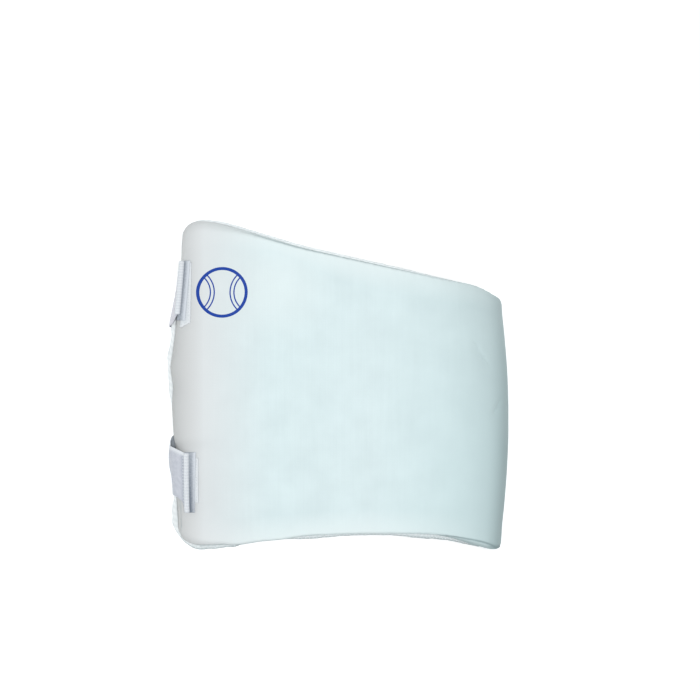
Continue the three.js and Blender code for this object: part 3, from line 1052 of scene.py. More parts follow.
@dataclass(frozen=True)
class CoatedCloth(Finish):
    """Polyurethane-coated cloth: a smooth, half-matt white skin with the cloth's weave faint beneath it.

    The threads and the grain are drawn coarser than the real ones, which are too fine to show.
    """

    thread: float = 1.3
    thread_waver: float = 0.6
    weave_share: float = 0.45
    grain: float = 1.1
    mottle: float = 26.0
    streak: Pair = (3.2, 60.0)
    streak_share: float = 0.3
    tone_range: Pair = (0.4, 0.9)
    # Painted highlights: a pale tint along the rim, and round a spot on the upper breast.
    pale: str = "#e8f1f1"
    rim_highlight_fade: Fade = Fade(2, 20, 0.55, 0.0)
    spot_highlight_fade: Fade = Fade(0, 62, 0.42, 0.0, Ease.SMOOTH)
    spot_highlight_middle: Pair = (86.0, 84.0)
    # A grey tint that fades out over the first 92 mm from the open edge.
    open_edge_grey: str = "#dbdcdd"
    open_edge_grey_fade: Fade = Fade(0, 92, 0.95, 0.0, Ease.SMOOTH)
    # Painted shade: a bluer, darker tint round the far side, and a deeper one where the panel bends away,
    # both weaker towards the top.
    shaded: str = "#d0e7e9"
    shaded_fade: Fade = Fade(165, 290, 0.0, 1.0)
    bent: str = "#b0c6c8"
    bend_shade_fade: Fade = Fade(262, 293, 0.0, 1.0, Ease.SMOOTH)
    # Darker towards the open edge, fading out over its first 27 mm.
    dark_tint: str = "#b5b7b6"
    dark_tint_fade: Fade = Fade(0, 27, 0.85, 0.0)
    low_side: Pair = (-60.0, 60.0)
    high_share: float = 0.5
    # Painted shade: in the seam groove, along the edges, over the far bottom corner, and along fine creases.
    seam_shade_share: float = 0.62
    seam_shade: str = "#8fa6a9"
    crease_grain: float = 5.0
    crease_waver: float = 3.0
    creases: tuple[Crease, ...] = (
        Crease(start=(249, 37), stop=(255, 28), depth=0.11, width=1.8),
        Crease(start=(255, 28), stop=(266, 14), depth=0.11, width=1.8),
        Crease(start=(269, -26), stop=(276, -19), depth=0.11, width=1.8),
        Crease(start=(5.8, -96), stop=(7.6, -128), depth=0.34, width=1.6),
    )
    ball: BallPrint = BallPrint()

    def paint(self, node: NodeMaker) -> Paint:
        """Cloudy ice white, greyer towards the open edge and darker right at it, with painted highlights
        along the rim and round a spot on the breast, and painted shade round the far side, in the seams,
        along the edges and in the creases.
        """
        uv = node("UVMap", {}, uv_map=UV_NAME)
        along, height, _ = node("SeparateXYZ", {0: uv}).node.outputs
        seam, edge = (node("Attribute", {}, attribute_name=name) for name in (PAINTED_SHADE_NAME, EDGE_NAME))
        threads = {0: uv, "Scale": wave_scale(self.thread), "Distortion": self.thread_waver}
        warp, weft = (node("TexWave", threads, bands_direction=way) for way in ("X", "Y"))
        weave = node("Math", {0: warp, 1: weft}, operation="MULTIPLY")
        grain = node("TexNoise", {0: uv, "Scale": per_metre(self.grain), "Detail": 2.0})
        cloud = node("TexNoise", {0: uv, "Scale": per_metre(self.mottle), "Detail": 3.0})
        stretch = (per_metre(self.streak[0]), per_metre(self.streak[1]), 1.0)
        drawn = node("VectorMath", {0: uv, 1: stretch}, operation="MULTIPLY")
        streaks = node("TexNoise", {0: drawn, "Scale": 1.0, "Detail": 2.0})
        tone = node("Math", {0: streaks, 1: self.streak_share, 2: cloud}, operation="MULTIPLY_ADD")
        tone = node("MapRange", {0: tone, 1: self.tone_range[0], 2: self.tone_range[1]})
        relief = node("Math", {0: weave, 1: self.weave_share, 2: grain}, operation="MULTIPLY_ADD")

        def strength(fade: Fade, place: Socket) -> Socket:
            """How strong a tint is at a place along its fade."""
            ends = {0: place, 1: fade.start * MM, 2: fade.stop * MM, 3: fade.first, 4: fade.last}
            return node("MapRange", ends, interpolation_type=fade.ease.value)

        # Painted highlights: pale along the rim and round a spot on the breast.
        bloom = (self.spot_highlight_middle[0] * MM, self.spot_highlight_middle[1] * MM, 0.0)
        away = node("VectorMath", {0: uv, 1: bloom}, operation="DISTANCE")
        paler = {0: strength(self.rim_highlight_fade, edge), 1: strength(self.spot_highlight_fade, away)}
        # Painted shade round the far side and where the panel bends away, weaker towards the top.
        low, high = self.low_side
        lower = node("MapRange", {0: height, 1: low * MM, 2: high * MM, 3: 1.0, 4: self.high_share})
        shaded, bent = (
            node("Math", {0: strength(fade, along), 1: lower}, operation="MULTIPLY")
            for fade in (self.shaded_fade, self.bend_shade_fade)
        )
        # Painted shade: the seam groove, edge lines and corner kept on the cover, and the creases' fine
        # lines.
        painted_shade = node("Math", {0: seam, 1: self.seam_shade_share}, operation="MULTIPLY")
        for crease in self.creases:
            line = self.crease_line(node, uv, crease)
            painted_shade = node("Math", {0: line, 1: crease.depth, 2: painted_shade}, operation="MULTIPLY_ADD")
        # Tints over the tone, in order: painted highlights, the grey towards the open edge, painted shade
        # round the far side and where it bends, darker at the open edge, painted shade of seams, edges and
        # creases, and the print.
        layers = (
            (node("Math", paler, operation="MAXIMUM"), self.pale),
            (strength(self.open_edge_grey_fade, along), self.open_edge_grey),
            (shaded, self.shaded),
            (bent, self.bent),
            (strength(self.dark_tint_fade, along), self.dark_tint),
            (painted_shade, self.seam_shade),
            (self.ball.mask(node, uv), self.ball.colour),
        )
        colour = self.blend(node, tone)
        for factor, tint in layers:
            colour = node("Mix", {0: factor, 6: colour, 7: linear(tint)}, data_type="RGBA")
        return Paint(colour, self.spread_roughness(node, cloud), relief)

    def crease_line(self, node: NodeMaker, uv: Socket, crease: Crease) -> Socket:
        """Where the fine line of painted shade along a crease lies, wavering a little and fading at its
        ends.
        """
        start = Vector((*crease.start, 0.0)) * MM
        way = Vector((*crease.stop, 0.0)) * MM - start
        across = Vector((-way.y, way.x, 0.0)).normalized()
        half = way.length_squared / 2
        offset = node("VectorMath", {0: uv, 1: start}, operation="SUBTRACT")
        travel = node("VectorMath", {0: offset, 1: way}, operation="DOT_PRODUCT")
        travel = node("Math", {0: travel, 1: half}, operation="SUBTRACT")
        travel = node("Math", {0: travel}, operation="ABSOLUTE")
        within = node("MapRange", {0: travel, 1: 0.5 * half, 2: 1.2 * half, 3: 1.0, 4: 0.0})
        waver = node("TexNoise", {0: uv, "Scale": per_metre(self.crease_grain)})
        beside = node("VectorMath", {0: offset, 1: across}, operation="DOT_PRODUCT")
        beside = node("Math", {0: waver, 1: 2 * self.crease_waver * MM, 2: beside}, operation="MULTIPLY_ADD")
        beside = node("Math", {0: beside, 1: self.crease_waver * MM}, operation="SUBTRACT")
        beside = node("Math", {0: beside}, operation="ABSOLUTE")
        close = node("MapRange", {0: beside, 2: crease.width * MM, 3: 1.0, 4: 0.0})
        return node("Math", {0: close, 1: within}, operation="MULTIPLY")


@dataclass(frozen=True)
class BrushedKnit(Finish):
    """Brushed polyester knit: soft, fully matt, with small upright loops and a slight bloom at its edge."""

    wale: float = 2.2
    course_share: float = 0.8
    knit_tone: float = 0.4
    knit_relief: float = 0.8
    nap: float = 0.9
    mottle: float = 28.0

    def paint(self, node: NodeMaker) -> Paint:
        """Rows of small loops under a brushed nap."""
        uv = node("UVMap", {}, uv_map=UV_NAME)
        loops = {0: uv, "Distortion": 1.5, "Detail Scale": 2.0}
        wales, courses = (
            node("TexWave", {**loops, "Scale": wave_scale(size)}, bands_direction=way)
            for size, way in ((self.wale, "X"), (self.wale * self.course_share, "Y"))
        )
        knit = node("Math", {0: wales, 1: courses}, operation="MULTIPLY")
        nap = node("TexNoise", {0: uv, "Scale": per_metre(self.nap), "Detail": 4.0})
        cloud = node("TexNoise", {0: uv, "Scale": per_metre(self.mottle), "Detail": 2.0})
        shade = node("Math", {0: knit, 1: self.knit_tone, 2: cloud}, operation="MULTIPLY_ADD")
        height = node("Math", {0: knit, 1: self.knit_relief, 2: nap}, operation="MULTIPLY_ADD")
        return Paint(self.blend(node, shade), self.spread_roughness(node, nap), height)


@dataclass(frozen=True)
class TwillTape(Finish):
    """Cotton twill tape: matt, with fine slanting ribs across its width, and painted shade on its outer side
    where it faces down.
    """

    rib: float = 1.5
    rib_tone: float = 0.35
    mottle: float = 11.0
    # Painted shade on the tape's outer side where it faces down.
    dark_tint: str = "#9ea9ac"

    def paint(self, node: NodeMaker) -> Paint:
        """Slanting ribs, slightly uneven in tone."""
        uv = node("UVMap", {}, uv_map=UV_NAME)
        # Painted shade where the tape faces down.
        under_shade = node("Attribute", {}, attribute_name=PAINTED_SHADE_NAME)
        ribs = {0: uv, "Scale": wave_scale(self.rib) / math.sqrt(3), "Distortion": 0.8}
        twill = node("TexWave", ribs, bands_direction="DIAGONAL")
        cloud = node("TexNoise", {0: uv, "Scale": per_metre(self.mottle), "Detail": 3.0})
        shade = node("Math", {0: twill, 1: self.rib_tone, 2: cloud}, operation="MULTIPLY_ADD")
        tints = {0: under_shade, 6: self.blend(node, shade), 7: linear(self.dark_tint)}
        colour = node("Mix", tints, data_type="RGBA")
        return Paint(colour, self.spread_roughness(node, cloud), twill)


@dataclass(frozen=True)
class RibbedElastic(Finish):
    """Woven elastic: lengthwise ribs bound by the weft, a paler upper selvedge, a white end, and painted
    shade on its inside, beside its end and along its lower selvedge.
    """

    tick: float = 1.0
    rib: float = 1.3
    weave_tone: float = 0.22
    weave_relief: float = 0.4
    mottle: float = 5.0
    selvedge: Pair = (1.76, 4.4)
    selvedge_share: float = 0.9
    # The selvedge is pale only along the upper side; the lower one is left darker as painted shade.
    selvedge_sides: Pair = (-20.0, 10.0)
    hem: float = 9.0
    hem_colour: str = "#e0e4e8"
    # Painted shade: a darker band on the web beside the rolled end.
    dip_start: float = 11.5
    dip_stop: float = 15.5
    dip_depth: float = 0.6
    # Painted shade on the strap's inside.
    inner: str = "#888e95"
    notch: float = 2.6
    notch_colour: str = "#d4d9df"

    def paint(self, node: NodeMaker) -> Paint:
        """Faint weft over the ribs, dark in the grooves and pale along the upper side and the end, with
        painted shade beside the end and on the inside, and its lower selvedge left darker as painted shade.
        """
        uv = node("UVMap", {}, uv_map=UV_NAME)
        travel, across, _ = node("SeparateXYZ", {0: uv}).node.outputs
        edge, outer = (node("Attribute", {}, attribute_name=name) for name in (EDGE_NAME, FRONT_NAME))
        ticks, ribs, notches = (
            node("TexWave", {0: uv, "Scale": wave_scale(size), "Distortion": waver}, bands_direction=way)
            for size, waver, way in ((self.tick, 0.6, "X"), (self.rib, 0.3, "Y"), (self.notch, 1.2, "Y"))
        )
        cloud = node("TexNoise", {0: uv, "Scale": per_metre(self.mottle), "Detail": 3.0})
        weave = node("Math", {0: ticks, 1: ribs}, operation="ADD")
        height = node("Math", {0: weave, 1: self.weave_relief, 2: cloud}, operation="MULTIPLY_ADD")
        shade = node("Math", {0: weave, 1: self.weave_tone, 2: cloud}, operation="MULTIPLY_ADD")
        # Painted shade beside the rolled end.
        dip = {0: travel, 1: self.dip_start * MM, 2: self.dip_stop * MM, 3: -self.dip_depth, 4: 0.0}
        dip = node("MapRange", dip)
        shade = node("Math", {0: shade, 1: dip}, operation="ADD", use_clamp=True)
        start, stop = self.selvedge
        pale = {0: edge, 1: start * MM, 2: stop * MM, 3: self.selvedge_share, 4: 0.0}
        pale = node("MapRange", pale)
        # Pale only along the upper side, the lower one left darker as painted shade.
        lower, upper = self.selvedge_sides
        side = node("MapRange", {0: across, 1: lower * MM, 2: upper * MM})
        pale = node("Math", {0: pale, 1: side}, operation="MULTIPLY")
        hem = node("Math", {0: travel, 1: self.hem * MM}, operation="LESS_THAN")
        white = linear(self.hem_colour)
        rolled = node("Mix", {0: notches, 6: white, 7: linear(self.notch_colour)}, data_type="RGBA")
        colour = node("Mix", {0: pale, 6: self.blend(node, shade), 7: white}, data_type="RGBA")
        # The inside takes painted shade.
        colour = node("Mix", {0: outer, 6: linear(self.inner), 7: colour}, data_type="RGBA")
        colour = node("Mix", {0: hem, 6: colour, 7: rolled}, data_type="RGBA")
        return Paint(colour, self.spread_roughness(node, cloud), height)


@dataclass(frozen=True)
class LoopTape(Finish):
    """Nylon loop tape: a dull, tangled pile with rows of loops, paler along its woven edge, and a thin line
    of painted shade round its rim.
    """

    loop: float = 1.4
    row_share: float = 0.5
    fibre: float = 0.8
    selvedge: float = 2.0
    selvedge_tone: float = 0.5
    middle_tone: float = -0.2
    # Painted shade: a thin darker line round the patch's rim.
    edge_shade: str = "#a7adb3"
    edge_shade_width: Pair = (0.2, 0.7)
    edge_shade_share: float = 0.12

    def paint(self, node: NodeMaker) -> Paint:
        """Tangled loops in rough rows."""
        uv = node("UVMap", {}, uv_map=UV_NAME)
        edge = node("Attribute", {}, attribute_name=EDGE_NAME)
        loops = {0: uv, "Scale": wave_scale(self.loop), "Distortion": 3.0, "Detail Scale": 3.0}
        rows = node("TexWave", loops, bands_direction="Y")
        tangle = node("TexNoise", {0: uv, "Scale": per_metre(self.fibre), "Detail": 5.0})
        pile = node("Math", {0: rows, 1: self.row_share, 2: tangle}, operation="MULTIPLY_ADD")
        pale = {0: edge, 2: self.selvedge * MM, 3: self.selvedge_tone, 4: self.middle_tone}
        pale = node("MapRange", pale)
        shade = node("Math", {0: pile, 1: pale}, operation="ADD", use_clamp=True)
        # Painted shade round the rim.
        start, stop = self.edge_shade_width
        rim = node("MapRange", {0: edge, 1: start * MM, 2: stop * MM, 3: self.edge_shade_share, 4: 0.0})
        tints = {0: rim, 6: self.blend(node, shade), 7: linear(self.edge_shade)}
        return Paint(node("Mix", tints, data_type="RGBA"), self.spread_roughness(node, tangle), pile)


@dataclass(frozen=True)
class SpunThread(Finish):
    """Polyester sewing thread: three twisted plies with a soft gloss."""

    twist: float = 0.8

    def paint(self, node: NodeMaker) -> Paint:
        """Plies that wind along the thread."""
        place = node("TexCoord", {}).node.outputs["Object"]
        twist = {0: place, "Scale": wave_scale(self.twist) / math.sqrt(3)}
        plies = node("TexWave", twist, bands_direction="DIAGONAL")
        return Paint(self.blend(node, plies), self.spread_roughness(node, plies), plies)


@dataclass(frozen=True)
class HookNylon(Finish):
    """Woven nylon hook tape seen from its back: dull grey, painted darker as shadow beside the strap's end
    and towards the bottom.
    """

    web: float = 1.1
    mottle: float = 1.6
    mottle_tone: float = 0.7
    # Painted shadow: darkest towards the strap's end, lighter at the free edge, and darker towards the
    # bottom.
    shadow_reach: float = 3.6
    shadow_tones: Pair = (0.65, -0.2)
    shadow_height: float = 50.0
    shadow_height_tones: Pair = (-0.25, 0.3)

    def paint(self, node: NodeMaker) -> Paint:
        """A woven web under painted shadow that darkens inwards from its free edge and downwards."""
        uv = node("UVMap", {}, uv_map=UV_NAME)
        inwards, height, _ = node("SeparateXYZ", {0: uv}).node.outputs
        threads = {0: uv, "Scale": wave_scale(self.web), "Distortion": 0.8}
        web = node("TexWave", threads, bands_direction="Y")
        cloud = node("TexNoise", {0: uv, "Scale": per_metre(self.mottle), "Detail": 3.0})
        free, tucked = self.shadow_tones
        unshaded = node("MapRange", {0: inwards, 2: self.shadow_reach * MM, 3: free, 4: tucked})
        low, high = self.shadow_height_tones
        upper = node("MapRange", {0: height, 2: self.shadow_height * MM, 3: low, 4: high})
        unshaded = node("Math", {0: unshaded, 1: upper}, operation="ADD")
        mottled = {0: cloud, 1: self.mottle_tone, 2: unshaded}
        shade = node("Math", mottled, operation="MULTIPLY_ADD", use_clamp=True)
        return Paint(self.blend(node, shade), self.spread_roughness(node, cloud), web)


COVER_CLOTH = CoatedCloth(
    "polyurethane_coated_cloth", "#d8e8ea", "#cfdfe1", roughness=0.6, relief=0.04, specular=0.3
)
LINING_KNIT = BrushedKnit(
    "brushed_polyester_knit", "#f3f4f2", "#e2e5e4", roughness=0.88, relief=0.25, sheen=0.3
)
EDGE_TWILL = TwillTape("cotton_twill_tape", "#ecf0f1", "#d1d8da", roughness=0.82, relief=0.15, sheen=0.1)
STRAP_ELASTIC = RibbedElastic(
    "ribbed_woven_elastic", "#cccfd7", "#a3a9b5", roughness=0.8, relief=0.06, sheen=0.1
)
# A paler copy of the ribbed elastic, worn by the upper strap.
PALE_ELASTIC = RibbedElastic(
    "paler_woven_elastic", "#dedde3", "#bcbec8", roughness=0.8, relief=0.06, sheen=0.1
)
PATCH_LOOPS = LoopTape("nylon_loop_tape", "#e4e8eb", "#cfd5db", roughness=0.9, relief=0.25, sheen=0.2)
# The hook tape's dark shade stands for the shadow beside the strap's rolled end.
HOOK_WEB = HookNylon("hook_tape_painted_shadow", "#d3d9e0", "#737c88", roughness=0.7, relief=0.1)
SEAM_THREAD = SpunThread("polyester_sewing_thread", "#e9edee", "#c9d1d4", roughness=0.6, relief=0.05)


class EdgeLine(NamedTuple):
    """A line of painted shade along the cover's edge: its inset, its width, its weight and where it begins.
    """

    inset: float
    width: float
    weight: float
    begins: Pair

    def shade(self, inside: Array, along: Array) -> Array:
        """How dark the line is, at distances in from the edge and places along it."""
        line = np.exp(-(((inside - self.inset) / self.width) ** 2))
        return self.weight * line * smooth_step(*self.begins, along)


@dataclass(frozen=True)
class Cover:
    """The padded front: a coated cloth skin, stuffed and sewn down round its rim."""

    shape: PanelShape
    mesh_step: float = 4.0
    rim_rows: float = 9.0
    slack: float = 1.2
    swell_limit: float = 2.4
    pressure: float = 4.0
    frames: int = 20
    hold_steps: int = 10
    free_rim: float = 26.0
    free_beside: Pair = (4.0, 18.0)
    free_past: float = 16.0
    far_swell: float = 1.6
    far_swell_along: Pair = (190.0, 265.0)
    far_swell_rise: EdgePair = EdgePair(upper=9.0, lower=1.0)
    corner_drop: float = 2.6
    corner_start: Pair = (267.0, 288.0)
    corner_stop: Pair = (300.0, 322.0)
    corner_out: Pair = (1.5, 11.0)
    corner_height: float = 14.0
    pucker: float = 0.35
    pucker_reach: float = 5.0
    pucker_wave: float = 7.0
    sway: float = 0.35
    sway_wave: float = 75.0
    sway_rise: float = 58.0
    sway_rim: Pair = (2.0, 30.0)
    calm: float = 0.8
    calm_along: Pair = (220.0, 275.0)
    creases: tuple[Crease, ...] = (
        Crease(start=(251, 34), stop=(265, 15), depth=0.7, width=5.0),
        Crease(start=(268, -26), stop=(281, -13), depth=0.8, width=4.0),
        Crease(start=(2.0, -98), stop=(3.0, -126), depth=1.6, width=2.2),
        Crease(start=(5.8, -102), stop=(6.6, -126), depth=1.5, width=2.2),
    )
    seam_inset: float = 2.6
    seam_closed: float = 0.35
    seam_depth: float = 0.7
    seam_width: float = 0.8
    # How strongly the seam groove is painted with shade.
    seam_shade_weight: float = 1.45
    seam_begins: Pair = (216.0, 232.0)
    seam_opens: Pair = (222.0, 262.0)
    # Painted shade lines: thin along the top and bottom edges, broad over the far bottom corner's underside.
    top_line: EdgeLine = EdgeLine(inset=0.0, width=0.6, weight=1.0, begins=(52.0, 80.0))
    bottom_line: EdgeLine = EdgeLine(inset=0.0, width=0.9, weight=1.25, begins=(8.0, 18.0))
    corner_line: EdgeLine = EdgeLine(inset=1.5, width=2.2, weight=1.5, begins=(262.0, 286.0))

    def build(self) -> Piece:
        """Models, stuffs and dresses the cover."""
        shape = self.shape
        distances = shape.spread(shape.span, self.mesh_step)
        places = shape.grid(distances, shape.shares(self.mesh_step, self.rim_rows))
        inside = places.inside
        free = self.freedom(places, inside)
        along, height = shape.rim_reach(places)
        swell = self.far_swell * smooth_step(*self.far_swell_along, places.along)
        swell = swell * smooth_step(0.0, self.far_swell_rise.lower, places.to_bottom)
        swell = swell * smooth_step(0.0, self.far_swell_rise.upper, places.to_top)
        out = shape.front_at(places)
        drop = smooth_step(*self.corner_start, places.along)
        drop = drop * (1 - smooth_step(*self.corner_stop, places.along))
        drop = drop * smooth_step(*self.corner_out, out)
        drop = drop * (1 - smooth_step(0.0, self.corner_height, places.to_bottom))
        front = shape.point(along, height - self.corner_drop * drop, out + swell - self.slack * free)
        back = shape.point(along, height, np.full(inside.shape, shape.gap / 2))
        layer = add_layer(shape, "padded_cover", front, back, places.uv, inside)
        held = np.where(layer.is_front, 1 - free[layer.row, layer.column], 1.0)
        self.stuff(layer.piece, held)
        subdivide(layer.piece)
        self.work(layer.piece)
        bpy.ops.object.shade_smooth()
        dress(layer.piece, COVER_CLOTH, Slot.COVER, "front_pad")
        return layer.piece

    def freedom(self, places: Places, inside: Array) -> Array:
        """How free the skin is to swell: not at its sewn rim, and not under a strap or a patch."""
        free = smooth_step(0.0, self.free_rim, np.minimum(inside, self.shape.span - places.distance))
        for cut in self.shape.straps:
            beside = np.abs(places.height - cut.front) - self.shape.strap_width / 2
            reach = max(cut.patch_reach)
            past = smooth_step(reach, reach + self.free_past, places.distance)
            free = free * np.maximum(smooth_step(*self.free_beside, beside), past)
        return free

    def stuff(self, piece: Piece, held: Array) -> None:
        """Swells the skin by cloth simulation and keeps the swelling within its limit.

        Args:
            piece: The cover, still slack.
            held: How firmly each vertex is held, from 0 to 1.
        """
        slack = read_points(piece.data)
        group = piece.vertex_groups.new(name="sewn")
        for step in range(self.hold_steps + 1):
            members = np.flatnonzero(np.rint(held * self.hold_steps) == step)
            group.add(members.tolist(), step / self.hold_steps, "REPLACE")
        cloth = piece.modifiers.new("stuffing", "CLOTH")
        settings = cloth.settings
        settings.quality = 6
        settings.mass = 0.3
        settings.tension_stiffness = 15.0
        settings.compression_stiffness = 15.0
        settings.bending_stiffness = 2.0
        settings.vertex_group_mass = group.name
        settings.use_pressure = True
        settings.uniform_pressure_force = self.pressure
        settings.effector_weights.gravity = 0.0
        cloth.collision_settings.use_collision = False
        scene = bpy.context.scene
        for number in range(1, self.frames + 1):
            scene.frame_set(number)
        apply_modifiers(piece)
        scene.frame_set(1)
        moved = read_points(piece.data) - slack
        far = np.linalg.norm(moved, axis=1, keepdims=True)
        limit = self.swell_limit * MM
        log.info("cover swells %.2f mm at most before the limit", far.max() / MM)
        write_points(piece.data, slack + moved * (np.tanh(far / limit) * limit / np.maximum(far, 1e-9)))
        piece.vertex_groups.clear()

    def work(self, piece: Piece) -> None:
        """Works the skin: puckers along its sewn rim, a slight sway, and its creases."""
        mesh = piece.data
        points = read_points(mesh)
        normals = read_items(mesh.vertex_normals, "vector", 3)
        inside = read_value(mesh, EDGE_NAME) / MM
        along, height = read_uv(mesh).T / MM
        wave = ripple(along + 0.6 * height, self.pucker_wave, seed=1.0)
        offset = self.pucker * wave * np.exp(-inside / self.pucker_reach) * smooth_step(0.0, 2.0, inside)
        sway = ripple(along + 0.3 * height, self.sway_wave, seed=0.7)
        sway = sway + ripple(height - 0.2 * along, self.sway_rise, seed=1.9)
        sway = sway * smooth_step(*self.sway_rim, inside)
        sway = sway * (1 - self.calm * smooth_step(*self.calm_along, along))
        offset = offset + self.sway * sway
        place = np.stack([along, height], axis=1)
        for crease in self.creases:
            offset = offset - self.crease_depth(crease, place)
        to_top = self.shape.outline_at("top", along) - height
        to_bottom = height - self.shape.outline_at("bottom", along)
        seam = self.seam(along, to_bottom)
        offset = offset - self.seam_depth * seam
        # Painted shade, kept for the cloth's colour: the seam groove, thin lines along the top and bottom
        # edges, and the far bottom corner's underside.
        lines = self.top_line.shade(to_top, along) + self.bottom_line.shade(to_bottom, along)
        corner = self.corner_line.shade(to_bottom, along)
        write_value(mesh, PAINTED_SHADE_NAME, np.maximum(np.maximum(self.seam_shade_weight * seam, lines), corner))
        offset = offset * read_value(mesh, FRONT_NAME) * MM
        write_points(mesh, points + normals * offset[:, None])

    def seam(self, along: Array, to_bottom: Array) -> Array:
        """How deep the seam over the bottom edge's far stretch is, from 0 to 1."""
        opens = smooth_step(*self.seam_opens, along)
        inset = self.seam_inset * at_least(self.seam_closed, opens)
        starts = smooth_step(*self.seam_begins, along)
        return starts * np.exp(-(((to_bottom - inset) / self.seam_width) ** 2))

    @staticmethod
    def crease_depth(crease: Crease, place: Array) -> Array:
        """How deep a crease is at places on the pattern: steep on its far side, and gone at its two ends."""
        start = np.array(crease.start, float)
        way = np.array(crease.stop, float) - start
        length = np.linalg.norm(way)
        way = way / length
        travelled = (place - start) @ way
        beside = (place - start) @ np.array([-way[1], way[0]])
        ends = smooth_step(-0.3 * length, 0.3 * length, travelled)
        ends = ends * (1 - smooth_step(0.7 * length, 1.3 * length, travelled))
        width = np.where(beside < 0, crease.width, 0.35 * crease.width)
        return crease.depth * ends * np.exp(-((beside / width) ** 2))


@dataclass(frozen=True)
class Lining:
    """The brushed back lining, slightly creased across the inside of the bend."""

    shape: PanelShape
    stop: float = 4.0
    flat_height: float = 290.0
    mesh_step: float = 2.6
    rim: float = 3.0
    rim_steps: int = 4
    rim_round: float = 2.5
    rim_edge: float = 0.35
    crease: float = 0.35
    crease_wave: float = 13.0
    crease_slant: float = 0.05
    crease_length: float = 90.0
    crease_rim: Pair = (2.0, 12.0)
    flat_crease: float = 0.3
    bend: Pair = (180.0, 240.0)

    def build(self) -> Piece:
        """Models and dresses the lining."""
        shape = self.shape
        steps = (self.mesh_step, self.rim, self.rim_steps)
        places = shape.grid(shape.spread(shape.span - self.stop, *steps), shape.shares(*steps))
        inside = np.minimum(places.inside, shape.span - self.stop - places.distance)
        bent = smooth_step(*self.bend, places.along)
        crease = ripple(places.along + self.crease_slant * places.height, self.crease_wave, seed=2.0)
        crease = crease * at_least(self.flat_crease, bent)
        crease = crease * ripple(places.height, self.crease_length, seed=0.4)
        crease = crease * smooth_step(*self.crease_rim, inside)
        rounding = shape.rim_share(np.maximum(inside, 0.0), self.rim_round)
        middle = -(shape.gap / 2 + shape.lining) / 2
        half = (shape.lining - shape.gap / 2) / 2 * at_least(self.rim_edge, rounding)
        along, height = shape.rim_reach(places, most=0.0)
        front = shape.point(along, height, middle + half)
        hollow = middle - half - self.crease * crease
        back = shape.point(along, height, hollow)
        piece = add_layer(shape, "brushed_lining", front, back, places.uv, inside).piece
        dress(piece, LINING_KNIT, Slot.LINING, "back_lining")
        flat = ((shape.span - self.stop) * MM, self.flat_height * MM)
        return piece


